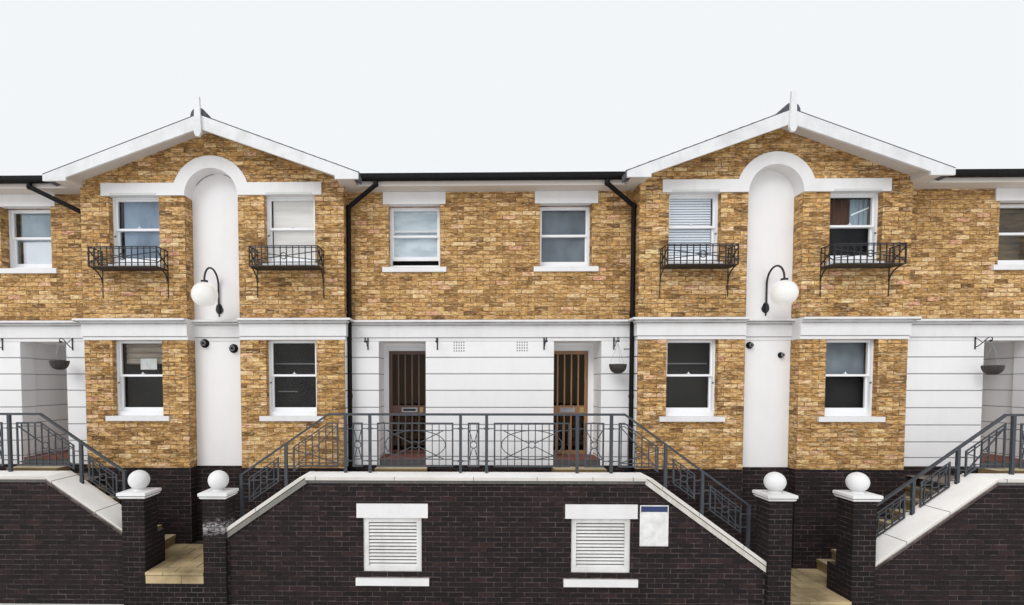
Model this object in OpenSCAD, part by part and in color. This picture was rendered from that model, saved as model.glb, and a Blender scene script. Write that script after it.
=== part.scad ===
// Row of four terraced houses over raised entrance platforms
// Millimetres, +Z up, street side towards -Y
// X = 0 is the wall between the two middle houses, Y = 0 the recessed street face
// Z = 0 is the lowest ground beside the row

/* [Row] */
// Width of a standard house, from party wall to party wall
house_w = 4720; // [4500:10:5000]
// Outer face of the left end wall, measured from the middle of the row
end_left = 9470; // [9200:10:9700]
// Outer face of the right end wall, measured from the middle of the row
end_right = 10470; // [10200:10:10700]
// Depth of the houses behind the recessed face
house_d = 8000; // [7000:50:9500]
// Thickness of the outer walls
wall_t = 300; // [250:5:330]
// Thickness of the walls between houses
party_t = 215; // [200:5:300]
// Thickness of the suspended floors
slab_t = 230; // [150:5:280]

/* [Gables] */
// Width of a projecting gable bay
gable_w = 4480; // [4300:10:4700]
// How far a gable bay stands forward of the recessed face
gable_proj = 330; // [250:5:400]
// Width of the white niche between the gable windows
niche_w = 900; // [700:10:1100]
// Depth of the niche
niche_d = 240; // [150:5:250]
// Depth of the niches below their feet
plinth_niche_d = 200; // [100:10:240]
// Thickness of the rendered panel at the back of the niche
niche_panel_t = 60; // [40:5:60]
// Width of the arch band round the head of the niche
arch_w = 205; // [150:5:250]
// Projection of the bands and lintels from the wall face
band_proj = 30; // [15:5:50]
// Depth to which bands, lintels and sills are built into the wall
band_bed = 110; // [80:5:150]
// Length of the band either side of the middle of the gable
band_half = 1873; // [1780:1:1950]

/* [Levels] */
// Top of the dark brick base
plinth_z = 1850; // [1800:5:1900]
// Ground floor level at the doors
floor_z = 1975; // [1950:5:2000]
// Projection of the base from the rendered walls
plinth_proj = 20; // [10:5:40]
// Level of the raised entrance platforms
platform_z = 1700; // [1650:5:1720]
// Underside of the ground floor window heads
head_z = 4045; // [3980:5:4080]
// Top of the cornice between the storeys
cornice_z = 4405; // [4380:5:4450]
// Upper floor level
upper_floor_z = 4550; // [4500:5:4650]
// Top of the upper window sills
upper_sill_z = 5330; // [5250:5:5400]
// Underside of the upper window heads in the gables
gable_head_z = 6475; // [6400:5:6520]
// Underside of the upper window heads in the recessed faces
recess_head_z = 6415; // [6350:5:6450]
// Top of the roof covering at the eaves
eaves_z = 6810; // [6790:5:6900]

/* [Roof] */
// Pitch of the main roof and the gables
roof_pitch = 20; // [18:0.5:21]
// Thickness of the roof, measured square to the slope
roof_t = 90; // [80:5:130]
// Overhang of the eaves in front of the walls
eaves_over = 300; // [250:10:400]
// Top of the roof covering at the gable ridges
ridge_z = 7640; // [7600:5:7700]
// Overhang of a gable roof in front of the gable wall
verge_over = 400; // [300:10:450]
// Half width of a gable roof
gable_roof_half = 2570; // [2500:5:2600]
// Depth of the barge boards, measured upright
barge_h = 235; // [180:5:280]
// Thickness of the barge boards
barge_t = 40; // [25:5:60]
// Upright height of a barge board's boxed end at its inner corner
box_step = 55; // [30:5:80]
// Thickness of the tiles that cover the barge boards
verge_t = 16; // [10:1:30]
// Thickness of the boards under the verges and eaves
soffit_t = 15; // [10:1:20]

/* [Windows] */
// Distance of the gable windows from the middle of the gable
gable_win_x = 1327; // [1280:1:1380]
// Width of the gable windows
gable_win_w = 858; // [800:1:900]
// Distance of the recess windows from the party wall
recess_win_x = 1317; // [1250:1:1400]
// Width of the recess windows
recess_win_w = 900; // [800:10:1000]
// Top of the ground floor sills
lower_sill_z = 2745; // [2650:5:2800]
// Height of the sills
sill_h = 85; // [60:5:100]
// Projection of the sills
sill_proj = 50; // [30:5:80]
// How far a sill runs past the window on each side
sill_ear = 118; // [80:1:150]
// How far an upper sill in the recessed faces runs past the window on each side
recess_sill_ear = 108; // [80:1:150]
// Height of the white lintels and bands
lintel_h = 208; // [180:1:230]
// How far a lintel runs past the window on each side
lintel_ear = 95; // [60:5:120]
// Depth of the window reveals in the gables and the rear wall
reveal = 100; // [60:5:110]
// Depth of the window reveals in the recessed faces
recess_reveal = 170; // [100:5:175]
// Width of the jambs of a window frame
frame_w = 35; // [25:1:50]
// Height of the head of a window frame
frame_head = 18; // [14:1:40]
// Height of the timber sill of a window frame
frame_foot = 70; // [50:5:80]
// Depth of the window frames
frame_d = 124; // [118:2:124]
// Distance of the upper sash from the front of the frame
sash_set = 40; // [30:2:44]
// Width of the sash stiles and top rails
sash_w = 28; // [24:1:45]
// Height of the meeting rails
meeting_h = 38; // [30:1:50]
// Height of the bottom rails
bottom_rail_h = 70; // [50:5:80]
// Thickness of a sash
sash_t = 38; // [30:2:38]
// How far the lower sash is raised in the one recess window that stands open
sash_lift = 100; // [0:5:200]
// Thickness of the glass
glass_t = 6; // [4:1:10]

/* [Doors] */
// Middle of a porch opening, measured from the party wall
porch_x = 1537; // [1450:5:1600]
// Width of a porch opening
porch_w = 828; // [750:10:900]
// Depth of the two middle porches from wall face to door frame
porch_d = 560; // [500:10:700]
// Depth of the two outer porches from wall face to door frame
outer_porch_d = 1250; // [1100:10:1500]
// Thickness of the porch side walls and ceilings
lining_t = 100; // [75:5:120]
// Width of a door leaf
leaf_w = 750; // [700:1:800]
// Height of a door leaf
leaf_h = 1930; // [1900:1:1985]
// Thickness of a door leaf
leaf_t = 44; // [35:1:55]
// Gap round a door leaf
leaf_gap = 8; // [5:1:10]
// Width of the door frame members
door_frame_w = 90; // [60:5:100]
// Depth of the door frames
door_frame_d = 100; // [80:5:120]
// Width of a door stile and of the top rail
stile_w = 70; // [60:1:90]
// Width of the upright bars between the glass strips
door_bar_w = 27; // [20:1:40]
// Glass strips across a door
door_strips = 5; // [3:1:6]
// Underside of the lock rail above the floor
lock_rail_z = 735; // [650:5:800]
// Height of the lock rail
lock_rail_h = 170; // [120:5:200]

/* [Entrance works] */
// Outer face of the street wall, in front of the recessed face
street_y = 1625; // [1500:5:1700]
// Thickness of the street wall
street_t = 440; // [330:5:450]
// Pillar side
pillar_w = 330; // [300:5:350]
// Pillar front face, in front of the recessed face
pillar_y = 1705; // [1650:5:1750]
// Clear width of a gateway
gate_w = 870; // [800:10:1000]
// Underside of the pillar caps
pillar_z = 1560; // [1450:5:1650]
// Diameter of the stone balls
ball_dia = 322; // [250:2:360]
// Top of the coping on the level walls
coping_z = 1930; // [1880:1:1960]
// Overhang of the coping on both sides of the street wall
coping_over = 35; // [20:5:50]
// Thickness of the coping
coping_t = 90; // [50:5:120]
// Fall per metre of the sloped copings beside the left gateway
left_fall = 690; // [600:5:760]
// Fall per metre of the sloped copings beside the right gateway
right_fall = 730; // [600:5:760]
// End of the level copings, from the middle of the left gateway
left_bend = 1932; // [1900:1:2100]
// End of the level copings, from the middle of the right gateway
right_bend = 2507; // [2450:1:2700]
// Level of the left gateway landing
landing_left_z = 520; // [450:5:600]
// Level of the right gateway landing
landing_right_z = 150; // [120:5:250]
// Depth of a stair tread from nosing to nosing
going = 240; // [220:5:260]
// Thickness of the stone treads
tread_t = 55; // [40:5:70]
// Distance of the top left nosings from the middle of the left gateway
stair_left_run = 2180; // [2100:5:2250]
// Distance of the top right nosings from the middle of the right gateway
stair_right_run = 2760; // [2700:5:2800]

/* [Railings] */
// Line of the railings in front of the recessed face
rail_y = 1250; // [1230:5:1290]
// Top of the handrail on the level platforms
rail_z = 2848; // [2750:1:2900]
// Width of the handrail
rail_w = 50; // [40:2:60]
// Height of the handrail
rail_h = 34; // [25:1:45]
// Side of the railing posts
post_w = 44; // [30:2:50]
// Width of the panel stiles
stile_bar = 24; // [16:1:30]
// Height of the panel rails
panel_rail = 20; // [16:1:30]
// Width of the thin bars inside the panels
thin_bar = 12; // [8:1:14]
// Distance between the thin upright bars
bar_pitch = 105; // [90:1:130]
// Height of the level panels
panel_h = 683; // [600:1:720]
// Upright height of the sloped panels
rake_panel_h = 385; // [340:1:420]
// Gap between a panel and the middle of the post beside it
panel_gap = 110; // [90:1:130]
// Drop from the top of the handrail to the top of the panels
panel_drop = 143; // [120:1:170]
// Half height of the ovals
oval_h = 222; // [180:1:230]
// Half width of the ovals
oval_w = 465; // [400:1:480]
// Radius of the small rings
ring_r = 50; // [40:1:60]

/* [Fittings] */
// Width of a balconette
balconette_w = 1140; // [1050:10:1250]
// Depth of a balconette
balconette_d = 350; // [250:10:400]
// Floor of a balconette
balconette_z = 5215; // [5150:5:5300]
// Height of a balconette railing
balconette_h = 335; // [280:5:400]
// Side of the balconette bars
balconette_bar = 14; // [10:1:18]
// Depth of the balconette brackets below the floor
bracket_h = 200; // [150:5:260]
// Length of the balconettes' wall bars below the floor
wall_bar_h = 460; // [380:5:500]
// Diameter of the lamp globes
globe_dia = 410; // [300:10:450]
// Middle height of the lamp globes
globe_z = 4767; // [4700:1:4850]
// Distance of the globe from the back of the niche
globe_reach = 540; // [430:10:580]
// Diameter of the downpipes
pipe_dia = 76; // [68:2:110]
// Outer width of the gutters
gutter_w = 112; // [100:2:130]
// Distance of the left louvred vent from the middle of the row
vent_left_x = 1504; // [1450:2:1650]
// Distance of the right louvred vent from the middle of the row
vent_right_x = 1560; // [1450:2:1650]
// Width of a louvred vent
vent_w = 860; // [700:10:1000]
// Underside of the vent heads
vent_top_z = 1330; // [1250:5:1400]
// Bottom of the vent frames
vent_foot_z = 520; // [450:5:600]
// Slats in a vent
vent_slats = 13; // [8:1:16]

/* [Hidden] */
$fn = 32;

slope = tan(roof_pitch);
roof_v = roof_t/cos(roof_pitch);
side = [-1, 1];
gable_half = gable_w/2;
gable_y = -gable_proj;
recess_half = house_w - gable_half;
inner_y = house_d - wall_t;
main_ridge_z = eaves_z + (house_d/2 + eaves_over)*slope;
arch_z = gable_head_z;
arch_r = niche_w/2;
eps = 1;
// Gap under sloping faces
bedding = 1;

// Solid between two corners
module box(x0, x1, y0, y1, z0, z1) {
    translate([x0, y0, z0]) cube([x1 - x0, y1 - y0, z1 - z0]);
}

// Upright section in Y and Z, drawn along X from x0 to x1
module along_x(x0, x1) {
    translate([x0, 0, 0]) rotate([90, 0, 90]) linear_extrude(x1 - x0) children();
}

// Elevation in X and Z, drawn back from y0 to y1
module along_y(y0, y1) {
    translate([0, y1, 0]) rotate([90, 0, 0]) linear_extrude(y1 - y0) children();
}

// Underside of the main roof over a point of the plan
function under_z(y) = eaves_z - roof_v - bedding + (min(y, house_d - y) + eaves_over)*slope;

// Middle of each house, left to right, and its width
recess_x = [-end_left, 0, end_right];
party_x = [-house_w, 0, house_w];
house_spans = [[-end_left + wall_t, -house_w - party_t/2], [-house_w + party_t/2, -party_t/2],
               [party_t/2, house_w - party_t/2], [house_w + party_t/2, end_right - wall_t]];
recess_spans = [[-end_left, -house_w - gable_half], [-recess_half, recess_half],
                [house_w + gable_half, end_right]];
// Middle of each porch opening, left to right, and its depth
porches = [[-end_left + porch_x, outer_porch_d], [-porch_x, porch_d],
           [porch_x, porch_d], [end_right - porch_x, outer_porch_d]];
end_win_shift = 35;
recess_wins = [-end_left + recess_win_x - end_win_shift, -recess_win_x, recess_win_x,
               end_right - recess_win_x];
vent_xs = [-vent_left_x, vent_right_x];
gable_wins = [for (s = side, t = side) s*house_w + t*gable_win_x];

// Rectangle of a window opening in elevation
module opening(x, w, z0, z1) {
    translate([x - w/2, z0]) square([w, z1 - z0]);
}

// WALLS

// Dark brick base below every street wall, set back below the niches
module plinth() {
    color("#2e2a2f") {
        for (s = side) difference() {
            box(s*house_w - gable_half, s*house_w + gable_half, gable_y, gable_y + wall_t, 0,
                plinth_z);
            box(s*house_w - arch_r, s*house_w + arch_r, gable_y - eps, gable_y + plinth_niche_d,
                s < 0 ? landing_left_z : landing_right_z, plinth_z + eps);
        }
        for (r = recess_spans) box(r[0], r[1], -plinth_proj, wall_t, 0, plinth_z);
    }
}

// Walls that run from front to back
module cross_walls() {
    color("#b98f57") {
        for (x = party_x) {
            front = x == 0 ? wall_t : gable_y + wall_t;
            cross_wall(x - party_t/2, x + party_t/2, front, inner_y);
        }
        cross_wall(-end_left, -end_left + wall_t, wall_t, inner_y);
        cross_wall(end_right - wall_t, end_right, wall_t, inner_y);
        for (s = side, t = side) {
            x = s*house_w + t*(gable_half - wall_t/2);
            along_x(x - wall_t/2, x + wall_t/2)
                polygon([[gable_y + wall_t, 0], [gable_y + wall_t, under_z(gable_y + wall_t)],
                         [wall_t, under_z(wall_t)], [wall_t, 0]]);
        }
    }
}

module cross_wall(x0, x1, y0, y1) {
    along_x(x0, x1)
        polygon([[y0, 0], [y0, under_z(max(y0, 0))], [max(y0, 0), under_z(max(y0, 0))],
                 [house_d/2, under_z(house_d/2)], [y1, under_z(y1)], [y1, 0]]);
}

rear_wins = [for (h = house_spans, t = side) (h[0] + h[1])/2 + t*(h[1] - h[0])/4];
rear_win_w = 1000;
rear_rows = [[lower_sill_z, head_z], [upper_sill_z, recess_head_z]];

// Rear wall with its rows of windows
module rear_wall() {
    color("#b98f57") difference() {
        along_x(-end_left, end_right)
            polygon([[inner_y, 0], [inner_y, under_z(inner_y)], [house_d, under_z(house_d)],
                     [house_d, 0]]);
        for (x = rear_wins, row = rear_rows) translate([x, house_d, 0]) rotate([0, 0, 180]) {
            box(-rear_win_w/2, rear_win_w/2, -eps, wall_t + eps, row[0] - sill_h, row[1]);
            sill(rear_win_w, row[0]);
            lintel(rear_win_w, row[1]);
        }
    }
}

// Outline of the niche with its round head
module niche_outline(r) {
    translate([-r, plinth_z]) square([2*r, arch_z - plinth_z]);
    translate([0, arch_z]) circle(r, $fn = 64);
}

// Brick on both sides of the tall niche, with the window openings
module gable_walls() {
    color("#b98f57") for (s = side) translate([s*house_w, 0, 0]) difference() {
        along_y(gable_y, gable_y + wall_t) difference() {
            for (t = side) translate([t*(gable_half + arch_r)/2, 0])
                opening(0, gable_half - arch_r, plinth_z, gable_head_z);
            for (t = side) {
                opening(t*gable_win_x, gable_win_w, lower_sill_z - sill_h, head_z);
                opening(t*gable_win_x, gable_win_w, upper_sill_z - sill_h, gable_head_z);
            }
        }
        for (t = side) translate([t*gable_win_x, gable_y, 0]) {
            sill(gable_win_w, lower_sill_z);
            sill(gable_win_w, upper_sill_z, 40, 20);
        }
    }
}

// Brick gable tops over the windows, with the round head of the niche
module gable_heads() {
    peak = ridge_z - roof_v - bedding;
    shoulder = peak - gable_half*slope;
    color("#b98f57") for (s = side) translate([s*house_w, 0, 0]) difference() {
        along_y(gable_y, gable_y + wall_t) difference() {
            polygon([[-gable_half, gable_head_z], [-gable_half, shoulder],
                     [0, peak], [gable_half, shoulder], [gable_half, gable_head_z]]);
            niche_outline(arch_r);
        }
        arch_band_solid();
    }
}

// Brick walls over the rendered ground floor in the recessed faces
module recess_walls() {
    color("#b98f57") for (r = recess_spans) difference() {
        along_x(r[0], r[1]) polygon([[0, cornice_z], [0, under_z(0)],
                                     [wall_t, under_z(wall_t)], [wall_t, cornice_z]]);
        for (x = recess_wins) translate([x, 0, 0]) {
            box(-recess_win_w/2, recess_win_w/2, -eps, wall_t + eps,
                upper_sill_z - sill_h, recess_head_z);
            sill(recess_win_w, upper_sill_z, recess_sill_ear);
            lintel(recess_win_w, recess_head_z);
        }
    }
}

// White rendered piers beside the porches
module rendered_piers() {
    color("#ecebe7") for (i = [0:2]) {
        edges = [for (p = porches) each [p[0] - porch_w/2, p[0] + porch_w/2]];
        inside = [for (e = edges) if (e > recess_spans[i][0] && e < recess_spans[i][1]) e];
        cuts = concat([recess_spans[i][0]], inside, [recess_spans[i][1]]);
        for (k = [0:2:len(cuts) - 2]) box(cuts[k], cuts[k + 1], 0, wall_t, plinth_z, head_z);
    }
}

// White rendered wall over the porches, behind the cornice
module rendered_heads() {
    color("#ecebe7") for (r = recess_spans) box(r[0], r[1], 0, wall_t, head_z, cornice_z);
}

// Side of the lobby away from the porch opening's jamb
function lobby(p) = let(toward = p[0] < -house_w || (p[0] > 0 && p[0] < house_w) ? -1 : 1)
    p[0] + toward*(leaf_w/2 + door_frame_w - porch_w/2);
lobby_half = leaf_w/2 + door_frame_w;

// Rendered side walls and ceilings of the porches
module porch_linings() {
    color("#e4e3df") for (p = porches) {
        x = lobby(p);
        z1 = head_z + lining_t;
        back = p[1] + door_frame_d;
        for (t = side) {
            x0 = t < 0 ? x - lobby_half - lining_t : x + lobby_half;
            box(x0, x0 + lining_t, wall_t, back, floor_z, z1);
        }
        box(x - lobby_half, x + lobby_half, wall_t, back, head_z, z1);
        box(x - lobby_half, x + lobby_half, p[1], back, floor_z + leaf_h + 2*leaf_gap
            + door_frame_w, head_z);
    }
}

// Ground floors, upper floors and the porch floors in the wall openings
module floors() {
    color("#9a958c") {
        for (h = house_spans) {
            house_floor(h, floor_z);
            house_floor(h, upper_floor_z);
        }
        for (p = porches) box(p[0] - porch_w/2, p[0] + porch_w/2, 0, wall_t, plinth_z, floor_z);
    }
}

// One floor plate, which reaches into the gable bay
module house_floor(h, z) {
    box(h[0], h[1], wall_t, inner_y, z - slab_t, z);
    s = h[0] + h[1] < 0 ? -1 : 1;
    bay0 = s*house_w - gable_half + wall_t;
    bay1 = s*house_w + gable_half - wall_t;
    box(max(h[0], bay0), min(h[1], bay1), gable_y + wall_t, wall_t + eps, z - slab_t, z);
}

// STONE AND RENDER TRIM

// Levels of the plain strip and the flat band under the moulding
strip_z = head_z;
band_z = 4109;

// Points of the moulding, out from the wall and up
function moulding() = concat(
    [[0, strip_z], [12, strip_z], [12, band_z], [band_proj, band_z],
     [band_proj, cornice_z - 80], [42, cornice_z - 80], [42, cornice_z - 70]],
    [for (a = [0:22.5:90]) [42 + 50*(1 - cos(a)), cornice_z - 70 + 30*sin(a)]],
    [[112, cornice_z - 40], [120, cornice_z - 32], [120, cornice_z - 8], [112, cornice_z],
     [0, cornice_z]]);

// Plan corners of the street face for a moulding that stands p out
function face_path(x0, x1, p) = concat([[x0, -p]],
    [for (s = side) each [[s*house_w - gable_half - p, -p],
                          [s*house_w - gable_half - p, gable_y - p],
                          [s*house_w + gable_half + p, gable_y - p],
                          [s*house_w + gable_half + p, -p]]], [[x1, -p]]);

// Moulded cornice, mitred round the gable bays, with its run across the niches
module cornice() {
    m = moulding();
    color("#ecebe7") {
        rows = [for (q = m) [for (c = face_path(-end_left, end_right, q[0])) [c[0], c[1], q[1]]]];
        difference() {
            sweep_rows(rows);
            for (s = side) translate([s*house_w, 0, 0])
                box(-arch_r, arch_r, gable_y - 200, gable_y + eps, strip_z - eps, cornice_z + eps);
            for (x = pipe_x) translate([x, pipe_y, strip_z - eps])
                cylinder(h = cornice_z - strip_z + 2*eps, r = pipe_dia/2);
        }
        for (s = side) translate([s*house_w, gable_y + niche_d, 0]) rotate([90, 0, 90])
            translate([0, 0, -arch_r]) linear_extrude(2*arch_r)
                polygon([for (q = m) [-q[0], q[1]]]);
    }
}

// Closed skin through a grid of points, capped at both ends
module sweep_rows(rows) {
    n = len(rows);
    k = len(rows[0]);
    points = [for (j = [0:k - 1], i = [0:n - 1]) rows[i][j]];
    sides = [for (j = [0:k - 2], i = [0:n - 1]) let(a = j*n + i, b = j*n + (i + 1)%n)
             each [[a, b, b + n], [a, b + n, a + n]]];
    ends = [[for (i = [n - 1:-1:0]) i], [for (i = [0:n - 1]) (k - 1)*n + i]];
    polyhedron(points, concat(sides, ends), convexity = 8);
}

// Level bands over the gable windows, joined by the arch over the niche
module arch_band_solid() {
    along_y(gable_y - band_proj, gable_y + band_bed) difference() {
        union() {
            for (t = side) translate([t > 0 ? arch_r : -band_half, gable_head_z])
                square([band_half - arch_r, lintel_h]);
            intersection() {
                translate([0, arch_z]) circle(arch_r + arch_w, $fn = 64);
                translate([-band_half, arch_z]) square([2*band_half, 2*arch_r + arch_w]);
            }
        }
        niche_outline(arch_r);
    }
    along_y(gable_y + band_bed - eps, gable_y + niche_d) intersection() {
        translate([0, arch_z]) difference() {
            circle(arch_r + arch_lining, $fn = 64);
            circle(arch_r, $fn = 64);
        }
        translate([-2*arch_r, arch_z]) square([4*arch_r, 2*arch_r]);
    }
}

// Thickness of the rendered arch behind the band
arch_lining = 60;

module arch_bands() {
    color("#ecebe7") for (s = side) translate([s*house_w, 0, 0]) arch_band_solid();
}

// White panel at the back of each niche
module niche_panels() {
    y = gable_y + niche_d;
    color("#ecebe7") for (s = side) translate([s*house_w, 0, 0])
        along_y(y, y + niche_panel_t) niche_outline(arch_r);
}

// Lintel over an opening centred on X = 0 in a wall face at Y = 0
module lintel(w, z) {
    box(-w/2 - lintel_ear, w/2 + lintel_ear, -band_proj, band_bed, z, z + lintel_h);
}

module lintels() {
    color("#ecebe7") {
        for (x = recess_wins) translate([x, 0, 0]) lintel(recess_win_w, recess_head_z);
        for (x = vent_xs) translate([x, -street_y, 0]) lintel(vent_w, vent_top_z);
        for (x = rear_wins, row = rear_rows) translate([x, house_d, 0]) rotate([0, 0, 180])
            lintel(rear_win_w, row[1]);
    }
}

// Sill below an opening centred on X = 0 in a wall face at Y = 0
module sill(w, z, ear = sill_ear, proj = sill_proj) {
    box(-w/2 - ear, w/2 + ear, -proj, band_bed, z - sill_h, z);
    box(-w/2, w/2, band_bed - eps, wall_t, z - sill_h, z);
}

module sills() {
    color("#ecebe7") {
        for (x = gable_wins) translate([x, gable_y, 0]) {
            sill(gable_win_w, lower_sill_z);
            sill(gable_win_w, upper_sill_z, 40, 20);
        }
        for (x = recess_wins) translate([x, 0, 0])
            sill(recess_win_w, upper_sill_z, recess_sill_ear);
        for (x = vent_xs) translate([x, -street_y, 0]) vent_sill();
        for (x = rear_wins, row = rear_rows) translate([x, house_d, 0]) rotate([0, 0, 180])
            sill(rear_win_w, row[0]);
    }
}

// WINDOWS

// Frame, sashes or glass of one window, with its wall face at Y = 0
module window_part(w, z0, z1, part, back = reveal, lift = 0) {
    foot = z0 + frame_foot;
    head = z1 - frame_head;
    glass_h = (head - foot - sash_w - meeting_h - bottom_rail_h)/2;
    mid = foot + bottom_rail_h + glass_h;
    if (part == "frame") ring(w, z0, z1, back, frame_d, frame_w, frame_foot, frame_head);
    iw = w - 2*frame_w;
    upper_y = back + sash_set;
    lower_y = upper_y + sash_t + 2;
    if (part == "sash") {
        ring(iw, mid, head, upper_y, sash_t, sash_w, meeting_h, sash_w);
        ring(iw, foot + lift, mid + meeting_h + lift, lower_y, sash_t, sash_w, bottom_rail_h,
             meeting_h);
    }
    if (part == "glass") {
        pane(iw - 2*sash_w, mid + meeting_h, head - sash_w, upper_y + sash_t/2);
        pane(iw - 2*sash_w, foot + bottom_rail_h + lift, mid + lift, lower_y + sash_t/2);
    }
}

// Upright rectangle with jambs, foot and head of their own widths
module ring(w, z0, z1, y, d, jamb, foot, head) {
    along_y(y, y + d) difference() {
        translate([-w/2, z0]) square([w, z1 - z0]);
        translate([-w/2 + jamb, z0 + foot]) square([w - 2*jamb, z1 - z0 - foot - head]);
    }
}

module pane(w, z0, z1, y) {
    box(-w/2, w/2, y - glass_t/2, y + glass_t/2, z0, z1);
}

// One part of every window
module windows(part) {
    for (x = gable_wins) translate([x, gable_y, 0]) {
        window_part(gable_win_w, lower_sill_z, head_z, part);
        window_part(gable_win_w, upper_sill_z, gable_head_z, part);
    }
    for (i = [0:3]) translate([recess_wins[i], 0, 0])
        window_part(recess_win_w, upper_sill_z, recess_head_z, part, recess_reveal,
                    i == 1 ? sash_lift : 0);
    for (x = rear_wins, row = rear_rows) translate([x, house_d, 0]) rotate([0, 0, 180])
        window_part(rear_win_w, row[0], row[1], part);
}

module window_frames() { color("white") windows("frame"); }
module sashes() { color("white") windows("sash"); }
module glazing() {
    color("#6f7d86", 0.5) {
        windows("glass");
        for (p = [porches[0], porches[3]]) translate([lobby(p), p[1], 0]) leaf_glass();
    }
}

// DOORS

leaf_y = 25;
glass_w = (leaf_w - 2*stile_w - (door_strips - 1)*door_bar_w)/door_strips;
strip_rows = [[stile_w, lock_rail_z], [lock_rail_z + lock_rail_h, leaf_h - stile_w]];

// Door frame with its stop, middle of the opening at X = 0 and front at Y = 0
module door_frame() {
    half = leaf_w/2 + leaf_gap;
    h = leaf_h + 2*leaf_gap;
    difference() {
        box(-lobby_half, lobby_half, 0, door_frame_d, floor_z, floor_z + h + door_frame_w);
        box(-half, half, leaf_y - 5, door_frame_d + eps, floor_z - eps, floor_z + h);
        box(-half + 14, half - 14, -eps, leaf_y, floor_z - eps, floor_z + h - 14);
    }
}

// Openings of the glass strips in a leaf
module strips(y0, y1, grow) {
    for (row = strip_rows, i = [0:door_strips - 1]) {
        x = -leaf_w/2 + stile_w + i*(glass_w + door_bar_w);
        box(x - grow, x + glass_w + grow, y0, y1, floor_z + leaf_gap + row[0] - grow,
            floor_z + leaf_gap + row[1] + grow);
    }
}

// Timber leaf with upright bars and a lock rail
module leaf() {
    difference() {
        box(-leaf_w/2, leaf_w/2, leaf_y, leaf_y + leaf_t, floor_z + leaf_gap,
            floor_z + leaf_gap + leaf_h);
        strips(leaf_y - eps, leaf_y + leaf_t + eps, 0);
    }
}

module leaf_glass() {
    strips(leaf_y + leaf_t/2 - glass_t/2, leaf_y + leaf_t/2 + glass_t/2, 0);
}

module door_frames() {
    color("white") for (p = porches) translate([lobby(p), p[1], 0]) door_frame();
}

module door_left() { color("#4a1f14") translate([lobby(porches[1]), porch_d, 0]) leaf(); }
module door_right() { color("#6b3317") translate([lobby(porches[2]), porch_d, 0]) leaf(); }
module door_left_glass() {
    color("#2b2624") translate([lobby(porches[1]), porch_d, 0]) leaf_glass();
}
module door_right_glass() {
    color("#2b2624") translate([lobby(porches[2]), porch_d, 0]) leaf_glass();
}
module outer_doors() {
    color("#5a2a18") for (p = [porches[0], porches[3]]) translate([lobby(p), p[1], 0]) leaf();
}

// ROOFS

// Section of the front slope from the eaves or the wall line to the ridge
module slope_section(y0) {
    polygon([[y0, eaves_z + (y0 + eaves_over)*slope - roof_v],
             [y0, eaves_z + (y0 + eaves_over)*slope],
             [house_d/2, main_ridge_z], [house_d/2, main_ridge_z - roof_v]]);
}

// Distance of the valley's foot from the middle of a gable, at the eaves line
valley_half = (ridge_z - eaves_z)/slope;
valley_back = valley_half - eaves_over;

// Plan of a gable roof, which meets the main roof at its valleys
module gable_roof_plan(grow) {
    side_back = -eaves_over - gutter_w - 6;
    polygon([[-gable_roof_half, gable_y - verge_over - grow],
             [gable_roof_half, gable_y - verge_over - grow], [gable_roof_half, side_back],
             [valley_half, side_back], [valley_half, -eaves_over], [0, valley_back],
             [-valley_half, -eaves_over], [-valley_half, side_back],
             [-gable_roof_half, side_back]]);
}

module roof_front() {
    color("#4b4c50") difference() {
        along_x(-end_left, end_right) slope_section(-eaves_over);
        for (s = side) translate([s*house_w, 0, 0]) linear_extrude(2*ridge_z)
            gable_roof_plan(0);
    }
}

module roof_rear() {
    color("#4b4c50") along_x(-end_left, end_right) translate([house_d, 0]) mirror([1, 0])
        slope_section(-eaves_over);
}

// Gable roofs that run back into the main roof
module cross_roofs() {
    y = gable_y - verge_over;
    color("#4b4c50") for (s = side) translate([s*house_w, 0, 0]) intersection() {
        union() {
            along_y(y + barge_t, valley_back) gable_roof_section(roof_v);
            along_y(y, y + barge_t + eps) gable_roof_section(verge_t);
        }
        linear_extrude(2*ridge_z) gable_roof_plan(eps);
    }
}

// Section of a gable roof of a given upright thickness
module gable_roof_section(v) {
    low = ridge_z - gable_roof_half*slope;
    polygon([[0, ridge_z], [gable_roof_half, low], [gable_roof_half, low - v],
             [0, ridge_z - v], [-gable_roof_half, low - v], [-gable_roof_half, low]]);
}

// Half-round ridge tiles on the main ridge and the gable ridges
ridge_r = 130;
module ridges() {
    color("#4b4c50") {
        along_x(-end_left, end_right) ridge_section(house_d/2, main_ridge_z);
        for (s = side) along_y(gable_y - verge_over, valley_back - 300)
            ridge_section(s*house_w, ridge_z);
    }
}

module ridge_section(c, z) {
    difference() {
        translate([c, z - 0.3*ridge_r]) circle(ridge_r, $fn = 24);
        z1 = z + bedding;
        w = 1.1*ridge_r;
        polygon([[c - w, z1 - w*slope], [c, z1], [c + w, z1 - w*slope], [c + w, z1 - 2*w],
                 [c - w, z1 - 2*w]]);
    }
}

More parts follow.
